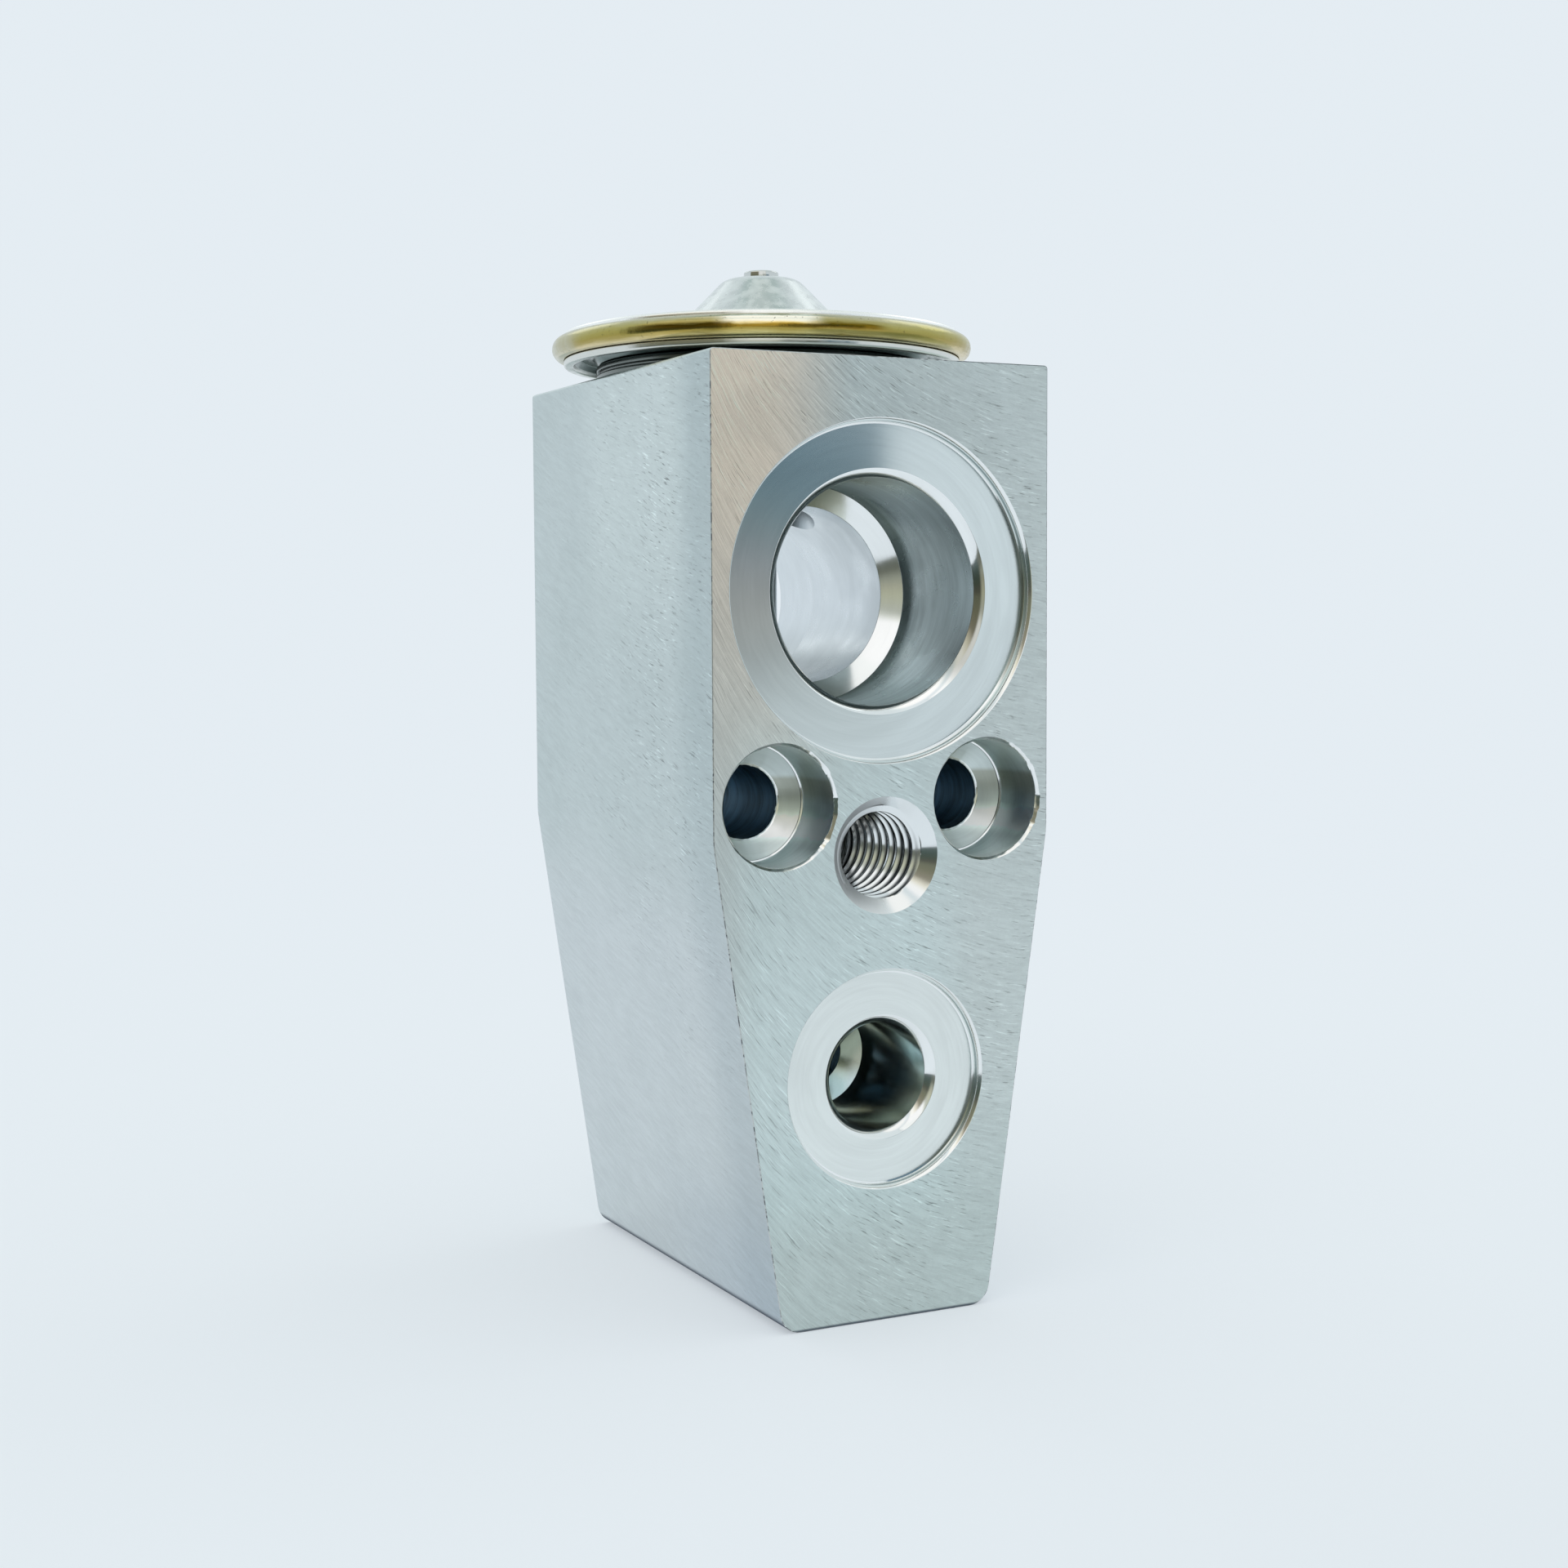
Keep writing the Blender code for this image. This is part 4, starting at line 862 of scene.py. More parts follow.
@dataclass
class PipePort:
    """A pipe port in the block: recessed seat, chamfered mouth, port and drill cone."""

    seat_radius: float
    port_radius: float
    port_depth: float
    bore_radius: float
    seat_zone: Zone
    port_zone: Zone
    seat_depth: float = 0.95
    lip_width: float = 0.2
    lip_depth: float = 0.37
    chamfer: float = 0.65
    cone_half_angle: float = 59.0

    def profile(self) -> tuple[list[tuple[float, float]], list[int]]:
        """Returns the port's (radius, depth) points from its rim to its bore, and their zones."""
        wall = self.seat_radius - self.lip_width
        mouth = self.port_radius + self.chamfer
        cone = (self.port_radius - self.bore_radius) / math.tan(math.radians(self.cone_half_angle))
        depth = self.seat_depth
        points = [
            (self.seat_radius + 0.05, -1.0),
            (self.seat_radius + 0.05, 0.0),
            (self.seat_radius - 0.02, 0.05),
            (wall + 0.03, self.lip_depth - 0.02),
            (wall, self.lip_depth + 0.04),
            (wall, depth - 0.20),
            (wall - 0.05, depth - 0.06),
            (wall - 0.18, depth),
            (mouth + 0.03, depth),
            (mouth, depth + 0.012),
            (self.port_radius + 0.02, depth + self.chamfer - 0.02),
            (self.port_radius, depth + self.chamfer + 0.03),
            (self.port_radius, self.port_depth - 0.03),
            (self.port_radius - 0.03, self.port_depth + 0.01),
            (self.bore_radius + 0.03, self.port_depth + cone - 0.01),
            (self.bore_radius, self.port_depth + cone + 0.04),
        ]
        bright = [Zone.CHAMFER]
        zones = [Zone.EDGE] + bright * 3 + [Zone.PORT] + bright * 2 + [self.seat_zone]
        return points, zones + bright * 3 + [self.port_zone] + bright * 3 + [Zone.PASSAGE]


@dataclass
class ValveBody:
    """The machined block, with every port, hole and bore cut into it.

    The radii of a port are those of its seat, its mouth and its bore.
    """

    width: float = 30.0
    depth: float = 38.1
    height: float = 76.2
    taper_height: float = 38.7
    foot_width: float = 18.6
    shoulder_blend: float = 8.0
    foot_rounding: float = 1.8
    top_rounding: float = 0.3
    edge_break: float = 0.07
    suction_height: float = 58.0
    suction_radii: tuple[float, float, float] = (13.5, 9.0, 7.35)
    suction_front_depth: float = 13.1
    suction_back_depth: float = 10.4
    liquid_depth: float = 12.1
    inlet_height: float = 19.4
    inlet_radii: tuple[float, float, float] = (8.8, 4.35, 2.75)
    inlet_end: float = 19.1
    outlet_height: float = 29.0
    outlet_radii: tuple[float, float, float] = (9.3, 6.0, 3.4)
    outlet_end: float = 18.65
    seat_height: float = 21.4
    pocket_floor: float = 46.0
    bolt_height: float = 41.4
    bolt_spacing: float = 18.6
    stud_height: float = 37.25
    stud_mouth: float = 4.66
    large: int = 192
    middle: int = 128

    def outline(self) -> np.ndarray:
        """Returns the block's outline across X and Z, tapering from the shoulders to the foot."""
        half, foot = 0.5 * self.width, 0.5 * self.foot_width
        corners = [(-foot, 0.0), (foot, 0.0), (half, self.taper_height), (half, self.height)]
        corners += [(-half, self.height), (-half, self.taper_height)]
        radii = [self.foot_rounding, self.foot_rounding, self.shoulder_blend]
        radii += [self.top_rounding, self.top_rounding, self.shoulder_blend]
        return rounded(corners, radii, 8)

    def blank(self) -> Mesh:
        """Carries the outline from the hose side to the evaporator side, with rounded rims.

        Formula: ring k is the outline moved inwards by the rim radius times one minus the sine of
        its angle, at a depth of the rim radius times one minus the cosine, and mirrored at the back.
        """
        outline = self.outline()
        along = np.roll(outline, -1, axis=0) - outline
        along /= np.linalg.norm(along, axis=1)[:, None]
        normal = np.stack([along[:, 1], -along[:, 0]], axis=1)
        before = np.roll(normal, 1, axis=0)
        mitre = (normal + before) / (1.0 + np.einsum("ij,ij->i", normal, before))[:, None]
        bend = np.linspace(0.0, 0.5 * math.pi, 4)
        inset = self.edge_break * (1.0 - np.sin(bend))
        depth = self.edge_break * (1.0 - np.cos(bend))
        inset = np.concatenate([inset, inset[::-1]])
        y = np.concatenate([FRONT_Y + depth, BACK_Y - depth[::-1]])
        flat = outline[None] - mitre[None] * inset[:, None, None]
        level = np.broadcast_to(y[:, None], flat.shape[:2])
        points = np.stack([flat[..., 0], level, flat[..., 1]], axis=-1).reshape(-1, 3)
        rows = np.arange(len(points)).reshape(-1, len(outline))
        faces, ring = grid_faces(rows, False)
        faces += [rows[0][::-1].tolist(), rows[-1].tolist()]
        mesh = solid_mesh("valve_block_blank", points, faces)
        middle = len(bend) - 1
        slots = np.append(np.where(ring == middle, Zone.FLANK, Zone.EDGE), [Zone.FACE] * 2)
        mesh.polygons.foreach_set("material_index", slots.astype(np.int32))
        return mesh

    def suction_cut(self) -> Mesh:
        """Returns the suction passage: a port at each side and a narrower bore between them."""
        spindle = Spindle(0.0, FRONT_Y, self.suction_height, Heading.INTO_HOSE_SIDE)
        seat, port, bore = self.suction_radii
        front = PipePort(seat, port, self.suction_front_depth, bore, Zone.SUCTION_SEAT, Zone.PORT)
        back = PipePort(seat, port, self.suction_back_depth, bore, Zone.SUCTION_SEAT, Zone.PASSAGE)
        points, zones = front.profile()
        far_points, far_zones = back.profile()
        points += [(radius, self.depth - depth) for radius, depth in reversed(far_points)]
        zones += far_zones[:-1][::-1] + [Zone.EDGE]
        points = [(0.0, -1.0)] + points + [(0.0, self.depth + 1.0)]
        return turned_mesh("suction_cut", spindle, np.array(points), self.large, [Zone.EDGE] + zones)

    def liquid_cut(self, name: str, spindle: Spindle, radii: Sequence[float], end: float, seat_zone: Zone) -> Mesh:
        """Returns a liquid port and the small bore that goes on from it.

        Args:
            name: The mesh's name.
            spindle: The port's axis.
            radii: Those of its seat, its mouth and its bore.
            end: Depth at which the bore ends.
            seat_zone: Finish of its seat.
        """
        seat, port, bore = radii
        points, zones = PipePort(seat, port, self.liquid_depth, bore, seat_zone, Zone.LIQUID_PORT).profile()
        points = [(0.0, -1.0)] + points + [(bore, end), (0.0, end)]
        zones = [Zone.EDGE] + zones[:-1] + [Zone.DEEP_HOLE] * 2
        return turned_mesh(name, spindle, np.array(points), self.middle, zones)

    def bolt_cut(self, side: float) -> Mesh:
        """Returns one counterbored bolt hole, with slightly ragged edges at the hose side."""
        spindle = Spindle(side * 0.5 * self.bolt_spacing, FRONT_Y, self.bolt_height, Heading.INTO_HOSE_SIDE)
        end = self.depth
        points = [(0.0, -1.0), (4.97, -1.0), (4.97, 0.0), (4.78, 0.22), (4.75, 0.30), (4.75, 5.45)]
        points += [(4.74, 5.50), (4.62, 5.56), (4.60, 5.63), (3.10, 6.53), (2.99, 6.57), (2.92, 6.66), (2.90, 6.78)]
        points += [(2.90, end - 0.3), (3.2, end), (3.2, end + 1.0), (0.0, end + 1.0)]
        edge, bright, wall = Zone.EDGE, Zone.CHAMFER, Zone.COUNTERBORE
        zones = [edge] * 2 + [bright] * 2 + [wall] + [bright] * 3 + [wall] + [bright] * 3
        zones += [Zone.DEEP_HOLE] + [edge] * 3
        angle = np.linspace(0.0, math.tau, self.middle, endpoint=False)
        ragged = np.zeros((len(points), self.middle))
        burr = np.maximum(ripple(angle, 11 if side < 0.0 else 12, 5, 60), 0.0)
        near = np.exp(-((np.angle(np.exp(1j * (angle - 0.15))) / 0.9) ** 2))
        ragged[1:4] = 0.10 * burr * (0.25 + near)
        ragged[10:12] = 0.03 * ripple(angle, 21, 4, 50)
        return turned_mesh("bolt_cut", spindle, np.array(points), self.middle, zones, ragged)

    def stud_cut(self) -> Mesh:
        """Returns the round room that the threaded lining fills."""
        spindle = Spindle(0.0, FRONT_Y, self.stud_height, Heading.INTO_HOSE_SIDE)
        mouth = self.stud_mouth
        points = [(0.0, -1.0), (mouth, -1.0), (mouth, 15.6), (0.0, 18.4)]
        return turned_mesh("stud_cut", spindle, np.array(points), self.middle, [Zone.DEEP_HOLE] * 3)

    def lower_bore_cut(self) -> Mesh:
        """Returns the bore from the foot up: adjuster mouth, chamber, seat and throttle."""
        seat, end = self.seat_height, self.outlet_height
        points = [(0.0, -1.0), (6.5, -1.0), (6.5, 0.0), (6.0, 0.5), (6.0, 5.9), (5.5, 5.9), (5.5, seat), (2.5, seat)]
        points += [(1.75, seat + 0.5), (1.75, seat + 2.0), (2.75, seat + 2.0), (2.75, end), (0.0, end)]
        zones = [Zone.EDGE] * 3 + [Zone.PORT] + [Zone.DEEP_HOLE] * 8
        return turned_mesh("lower_bore_cut", VALVE_AXIS, np.array(points), self.middle, zones)

    def rod_bore_cut(self) -> Mesh:
        """Returns the rod's guide bore and the pocket for its ring under the suction passage."""
        low, floor, high = self.outlet_height, self.pocket_floor, self.suction_height
        points = [(0.0, low), (1.25, low), (1.25, floor), (2.8, floor), (2.8, high), (0.0, high)]
        return turned_mesh("rod_bore_cut", VALVE_AXIS, np.array(points), 64, [Zone.PORT] * 5)

    def pocket_cut(self) -> Mesh:
        """Returns the capsule's pocket in the top and the hole that joins it to the passage."""
        low, floor, top = self.suction_height, self.height - 6.5, self.height
        points = [(0.0, low), (4.5, low), (4.5, floor), (11.0, floor), (11.0, top - 2.3), (13.3, top)]
        points += [(13.3, top + 1.0), (0.0, top + 1.0)]
        return turned_mesh("pocket_cut", VALVE_AXIS, np.array(points), self.large, [Zone.PASSAGE] * 7)

    def build(self, materials: Sequence[Material]) -> None:
        """Cuts the blank and puts the finished block in place of its solid."""
        blank = add_object("valve_block_blank", self.blank())
        inlet = Spindle(0.0, FRONT_Y, self.inlet_height, Heading.INTO_HOSE_SIDE)
        outlet = Spindle(0.0, BACK_Y, self.outlet_height, Heading.INTO_EVAPORATOR_SIDE)
        cuts = [
            self.suction_cut(),
            self.liquid_cut("inlet_cut", inlet, self.inlet_radii, self.inlet_end, Zone.LIQUID_SEAT),
            self.liquid_cut("outlet_cut", outlet, self.outlet_radii, self.outlet_end, Zone.OUTLET_SEAT),
            self.bolt_cut(-1.0),
            self.bolt_cut(1.0),
            self.stud_cut(),
            self.lower_bore_cut(),
            self.rod_bore_cut(),
            self.pocket_cut(),
        ]
        tools = [add_object(cut.name, cut) for cut in cuts]
        for tool in tools:
            boolean = blank.modifiers.new(tool.name, "BOOLEAN")
            boolean.operation = "DIFFERENCE"
            boolean.solver = "EXACT"
            boolean.object = tool
        for cut in [blank] + tools:
            for material in materials:
                cut.data.materials.append(material)
        depsgraph = bpy.context.evaluated_depsgraph_get()
        mesh = bpy.data.meshes.new_from_object(blank.evaluated_get(depsgraph), depsgraph=depsgraph)
        for spare in tools + [blank]:
            bpy.data.objects.remove(spare)
        smooth(mesh, 38.0)
        slots = np.zeros(len(mesh.polygons), np.int32)
        mesh.polygons.foreach_get("material_index", slots)
        flat = np.isin(slots, [Zone.FACE, Zone.SUCTION_SEAT, Zone.LIQUID_SEAT, Zone.OUTLET_SEAT])
        mesh.polygons.foreach_set("use_smooth", ~flat)
        mesh.name = "machined_block"
        add_piece("machined_block", mesh, (), BLOCK, ["valve_body"])


@dataclass
class StudThread:
    """The tapped hole's lining: countersink, right-hand thread and drill point."""

    height: float = 37.25
    major: float = 4.06
    minor: float = 3.36
    pitch: float = 1.25
    mouth: float = 4.66
    countersink: float = 0.72
    run_on: float = 0.6
    depth: float = 15.0
    fade_from_end: float = 2.6
    fade_length: float = 1.6
    turns: int = 11
    columns: int = 144
    shares: tuple[float, ...] = (
        0.0, 0.05, 0.10, 0.18, 0.26, 0.34, 0.42, 0.46, 0.55, 0.64, 0.68, 0.76, 0.84, 0.92,
    )

    def flank(self, share: np.ndarray) -> np.ndarray:
        """Returns the thread's radius across one pitch.

        Formula: flat at the root for a tenth of the pitch, straight down the flank to the crest,
        flat there for nearly a fifth between two broken corners, and straight back.

        Args:
            share: Shares of the pitch, from zero to one.
        """
        knots = [0.0, 0.10, 0.42, 0.46, 0.64, 0.68, 1.0]
        root, crest = self.major, self.minor
        radii = [root, root, crest + 0.03, crest, crest, crest + 0.03, root]
        return np.interp(share, knots, radii)

    def build(self, materials: Sequence[Material]) -> None:
        """Builds the lining.

        Formula: the surface runs along the helix, so point (i, j) lies at pitch * (i-th share of
        the profile + j / columns) below the mouth, with the larger of the thread's radius there
        and the countersink's, whose cone runs on a little between the turns. The thread fades out
        near the end, and the wall behind it is a plain cylinder that fills the block's hole.
        """
        steps = (np.arange(-1, self.turns)[:, None] + np.array(self.shares)[None]).reshape(-1, 1)
        share = np.arange(self.columns)[None] / self.columns
        depth = np.maximum(self.pitch * (steps + share), 0.0)
        thread = self.flank((steps + 0.0 * share) % 1.0)
        sink = self.mouth - depth * (self.mouth - self.minor) / (self.countersink + self.run_on)
        radius = np.where(depth < 0.02, self.mouth, np.maximum(thread, sink))
        fade = np.clip((depth - (self.depth - self.fade_from_end)) / self.fade_length, 0.0, 1.0)
        radius = radius * (1.0 - fade) + self.minor * fade
        floor = np.array([(self.minor, self.depth), (0.0, self.depth + 2.0)])
        back = np.array([(0.0, self.depth + 3.2), (self.mouth, self.depth + 0.5), (self.mouth, 0.001)])
        last = np.concatenate([floor, back])
        full_radius = np.concatenate([radius, np.repeat(last[:, :1], self.columns, axis=1)])
        full_depth = np.concatenate([depth, np.repeat(last[:, 1:], self.columns, axis=1)])
        angle = -math.tau * np.arange(self.columns) / self.columns
        spindle = Spindle(0.0, FRONT_Y, self.height, Heading.INTO_HOSE_SIDE)
        points = spindle.points(full_radius, full_depth, angle[None] + 0.0 * full_radius)
        mesh = self.skin(points, len(radius))
        smooth(mesh, 24.0)
        add_piece("pipe_plate_thread", mesh, materials, BLOCK)

    def skin(self, points: np.ndarray, rows: int) -> Mesh:
        """Joins the rings, each thread ring running on into the next turn where it closes.

        Args:
            points: Grid of points, the thread's rings first.
            rows: Number of thread rings.
        """
        count, columns = points.shape[:2]
        index = np.arange(count * columns).reshape(count, columns)
        pole = np.ptp(points[..., 0] ** 2 + (points[..., 2] - self.height) ** 2, axis=1) < 1e-12
        pole &= np.abs(points[:, 0, 0]) < 1e-9
        index[pole] = index[pole, :1]
        turn = len(self.shares)
        beside = np.roll(index, -1, axis=1)
        beside[: rows - turn, -1] = index[turn:rows, 0]
        beside[rows - turn : rows, -1] = index[rows, 0]
        quads = np.stack([index[:-1], beside[:-1], beside[1:], index[1:]], axis=-1).reshape(-1, 4)
        closing = np.stack([index[-1], beside[-1], beside[0], index[0]], axis=-1)
        quads = np.concatenate([quads, closing])
        faces = [list(dict.fromkeys(face)) for face in quads.tolist()]
        return solid_mesh("pipe_plate_thread", points.reshape(-1, 3), [face for face in faces if len(face) > 2])


@dataclass
class Capsule:
    """The diaphragm capsule: covers, weld bead, screwed-in boss and filling plug."""

    flange_radius: float = 17.05
    cover_bottom: float = 79.25
    cover_top: float = 80.33
    cone_top: float = 85.08
    bead_radius: float = 18.0
    bead_bottom: float = 78.10
    bead_height: float = 1.84
    boss_radius: float = 14.2
    nick_angle: float = 1.66
    large: int = 256

    def upper_cover(self) -> Mesh:
        """Returns the pressed cover: rounded flange, shallow dome and raised cone."""
        low, top, edge, peak = self.cover_bottom, self.cover_top, self.flange_radius, self.cone_top
        outer = [(edge, low), (edge, top), (15.35, top), (13.75, top + 0.4), (7.12, top + 0.72), (3.17, peak)]
        outer += [(1.0, peak)]
        outer_line = rounded(outer, [0.0, 0.3, 0.6, 0.6, 1.0, 1.7, 0.0], 10)
        inner = [(1.0, peak - 0.9), (2.6, peak - 0.9), (6.2, low + 1.0), (13.75, low + 0.4), (15.35, low)]
        profile = np.concatenate([outer_line, np.array(inner)])
        return turned_mesh("upper_cover", VALVE_AXIS, profile, self.large)

    def bead(self) -> Mesh:
        """Returns the weld bead round the rim.

        Formula: its section is half a rounded oval, and it swells and wanders by hundredths of a
        millimetre along the rim, with one small nick.
        """
        bend = np.linspace(-0.5 * math.pi, 0.5 * math.pi, 17)
        middle = self.bead_bottom + 0.5 * self.bead_height
        centre = self.bead_radius - 0.90
        across = centre + 0.88 * np.cos(bend) ** 0.95
        up = middle + 0.5 * self.bead_height * np.sin(bend)
        profile = np.concatenate([[(17.0, up[0])], np.stack([across, up], axis=1), [(17.0, up[-1])]])
        angle = np.linspace(0.0, math.tau, 2 * self.large, endpoint=False)
        weight = np.concatenate([[0.0], np.cos(bend), [0.0]])[:, None]
        swell = 0.008 * weight * (ripple(angle, 5, 2, 20) + 0.8 * ripple(angle, 6, 40, 160))[None]
        rise = 0.010 * weight * ripple(angle, 7, 2, 30)[None]
        nick = np.exp(-((np.angle(np.exp(1j * (angle + self.nick_angle))) / 0.007) ** 2))
        low = np.exp(-(((np.concatenate([[-1.6], bend, [1.6]]) + 0.95) / 0.25) ** 2))[:, None]
        swell = swell - 0.16 * low * nick[None]
        return turned_mesh("rim_weld", VALVE_AXIS, profile, angle.size, None, np.minimum(swell, 0.018), rise)

    def lower_cover(self) -> Mesh:
        """Returns the lower plate, with its turned-down rim and the channel pressed inside the rim."""
        edge = self.flange_radius
        corners = [(9.6, 78.9), (9.6, 77.65), (14.0, 77.65), (14.5, 78.25), (15.7, 78.40), (16.1, 77.9)]
        corners += [(16.2, 77.52), (edge - 0.05, 77.52), (edge - 0.05, 78.02)]
        corners += [(edge - 0.18, 78.06), (edge - 0.18, 78.9)]
        radii = [0.0, 0.0, 0.1, 0.3, 0.3, 0.15, 0.18, 0.24, 0.05, 0.03, 0.0]
        return turned_mesh("lower_cover", VALVE_AXIS, rounded(corners, radii, 6), self.large)

    def boss(self) -> Mesh:
        """Returns the boss with its grooved flange. Its thread is hidden in the block and left plain."""
        edge = self.boss_radius
        corners = [(7.5, 70.3), (10.6, 70.3), (10.9, 70.6), (10.9, 76.3), (edge, 76.3), (edge, 76.78)]
        corners += [(edge - 0.30, 76.86), (edge - 0.30, 77.0), (edge, 77.08), (edge, 77.55), (9.5, 77.55)]
        corners += [(9.5, 78.8), (9.0, 78.8), (9.0, 75.6), (7.5, 75.6)]
        radii = [0.0, 0.1, 0.1, 0.0, 0.16, 0.12, 0.03, 0.03, 0.12, 0.16, 0.0, 0.0, 0.0, 0.0, 0.0]
        return turned_mesh("capsule_boss", VALVE_AXIS, rounded(corners, radii, 5), self.large)

    def plug(self) -> Mesh:
        """Returns the polished plug, with a slightly dished top."""
        low, high = self.cone_top + 0.05, self.cone_top + 0.65
        corners = [(0.0, 83.9), (0.9, 83.9), (0.9, low), (1.5, low), (1.5, high), (1.05, high), (0.95, high - 0.07)]
        corners += [(0.0, high - 0.07)]
        radii = [0.0, 0.0, 0.0, 0.08, 0.16, 0.04, 0.04, 0.0]
        return turned_mesh("filling_plug", VALVE_AXIS, rounded(corners, radii, 5), 96)

    def build(self, finish: dict[str, Material]) -> None:
        """Builds and dresses the capsule's outer pieces.

        Args:
            finish: The materials by name.
        """
        parts = [
            ("pressed_upper_cover", self.upper_cover(), finish["pressed_cover"], "pressed_stainless", "upper_cover"),
            ("weld_bead", self.bead(), finish["heat_tinted_weld"], "weld_tint", "rim_weld"),
            ("pressed_lower_cover", self.lower_cover(), finish["lower_plate"], "pressed_stainless", "lower_cover"),
            ("grooved_boss", self.boss(), finish["boss_turning"], "boss_steel", "mounting_boss"),
            ("filling_plug", self.plug(), finish["polished_plug"], "plug_steel", "fill_plug"),
        ]
        add_turned(parts, BLOCK)


@dataclass
class ValveTrain:
    """The moving pieces that can be seen through the ports: stop, rod, ball and holder."""

    segments: int = 96
    ball_radius: float = 2.3
    ball_height: float = 20.258

    def rod(self) -> Mesh:
        """Returns the operating rod."""
        corners = [(0.0, 22.66), (1.2, 22.66), (1.2, 75.4), (0.0, 75.4)]
        return turned_mesh("rod", VALVE_AXIS, rounded(corners, [0.0, 0.2, 0.2, 0.0], 5), 64)

    def stop(self) -> Mesh:
        """Returns the diaphragm stop with its hub and the rod's socket."""
        corners = [(0.0, 75.5), (1.25, 75.5), (1.25, 71.9), (3.6, 71.9), (3.6, 76.5), (8.6, 76.5), (8.6, 78.9)]
        corners += [(0.0, 78.9)]
        radii = [0.0, 0.0, 0.0, 0.3, 0.2, 0.2, 0.4, 0.0]
        return turned_mesh("stop", VALVE_AXIS, rounded(corners, radii, 5), self.segments)

    def ball(self) -> Mesh:
        """Returns the ball.

        Formula: radius times the cosine and sine of the latitude, from pole to pole.
        """
        latitude = np.linspace(-0.5 * math.pi, 0.5 * math.pi, 33)
        radius = self.ball_radius
        profile = np.stack([radius * np.cos(latitude), self.ball_height + radius * np.sin(latitude)], axis=1)
        profile[[0, -1], 0] = 0.0
        return turned_mesh("ball", VALVE_AXIS, profile, 64)

    def holder(self) -> Mesh:
        """Returns the ball's holder, with its cup, flange and spigot."""
        radius, below = self.ball_radius + 0.1, 0.25
        latitude = np.linspace(math.asin(below / radius), 0.5 * math.pi, 12)
        cup = np.stack([radius * np.cos(latitude), self.ball_height - radius * np.sin(latitude)], axis=1)
        cup[-1, 0] = 0.0
        corners = [(0.0, 14.96), (2.6, 14.96), (2.6, 17.16), (4.4, 17.16), (4.4, 18.16), (3.3, 18.16)]
        corners += [(3.3, self.ball_height - below)]
        line = rounded(corners, [0.0, 0.3, 0.0, 0.15, 0.15, 0.1, 0.0], 4)
        return turned_mesh("holder", VALVE_AXIS, np.concatenate([line, cup]), 72)

    def retainer(self) -> Mesh:
        """Returns the collar that keeps the rod's ring in its pocket."""
        corners = [(1.35, 47.56), (2.73, 47.56), (2.73, 49.06), (1.35, 49.06)]
        return turned_mesh("retainer", VALVE_AXIS, rounded(corners, [0.0, 0.2, 0.1, 0.25], 4), 64)

    def build(self, turned: Material, bright: Material) -> None:
        """Builds and dresses the train and the collar under it.

        Args:
            turned: Finish of the turned pieces.
            bright: Finish of the ball and the rod.
        """
        parts = [
            ("ground_rod", self.rod(), bright, "holder_steel", "operating_rod"),
            ("turned_stop", self.stop(), turned, "holder_steel", "diaphragm_stop"),
            ("throttle_ball", self.ball(), bright, "ball_steel", "valve_ball"),
            ("ball_cup", self.holder(), turned, "holder_steel", "ball_holder"),
        ]
        add_turned(parts, TRAIN)
        add_turned([("ring_collar", self.retainer(), turned, "holder_steel", "seal_retainer")], BLOCK)


@dataclass
class CoilSpring:
    """The valve spring, built as a lower and an upper half of its coils."""

    wire: float = 0.55
    coil: float = 3.55
    turns: float = 5.5
    closed_turns: float = 0.75
    bottom: float = 8.5
    top: float = 16.71
    steps: int = 264
    sides: int = 16

    def rise(self, turn: np.ndarray) -> np.ndarray:
        """Returns the height of the wire's centre after some turns.

        Formula: one wire's thickness a turn in the closed ends, and evenly what is left between them.
        """
        low, high = self.bottom + self.wire, self.top - self.wire
        end = 2.0 * self.wire * self.closed_turns
        places = [0.0, self.closed_turns, self.turns - self.closed_turns, self.turns]
        return np.interp(turn, places, [low, low + end, high - end, high])

    def half(self, name: str, first: int, last: int) -> Mesh:
        """Returns the wire between two of its steps, with its cut ends closed.

        Formula: at each step a circle of the wire's radius, in the plane of the valve's axis.

        Args:
            name: The mesh's name.
            first: Step at which it starts.
            last: Step at which it ends.
        """
        step = np.arange(first, last + 1)
        turn = self.turns * step / self.steps
        around = np.linspace(0.0, math.tau, self.sides, endpoint=False)
        radius = self.coil + self.wire * np.cos(around)[None] + 0.0 * turn[:, None]
        height = self.rise(turn)[:, None] + self.wire * np.sin(around)[None]
        points = VALVE_AXIS.points(radius, height, math.tau * turn[:, None] + 0.0 * radius)
        faces, _ = grid_faces(np.arange(radius.size).reshape(radius.shape), False)
        faces += [list(range(self.sides))[::-1], list(range(radius.size - self.sides, radius.size))]
        return solid_mesh(name, points.reshape(-1, 3), faces)

    def build(self, material: Material) -> None:
        """Builds both halves, with the body that presses each of them named only in the log.

        Args:
            material: The drawn wire's finish.
        """
        end = 2.0 * self.wire * (self.closed_turns + 0.5)
        halves = [
            ("lower_coils", 0, self.steps // 2, CARRIAGE, self.bottom + end),
            ("upper_coils", self.steps // 2, self.steps, TRAIN, self.top - end),
        ]
        for name, first, last, body, edge in halves:
            mesh = self.half(name, first, last)
            smooth(mesh, 40.0)
            mesh.materials.append(material)
            piece = add_object(name, mesh)
            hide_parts("valve_spring")
            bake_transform(piece)
            log.info("%s: %d corners, between %s and %s", name, len(mesh.vertices), body, BLOCK)


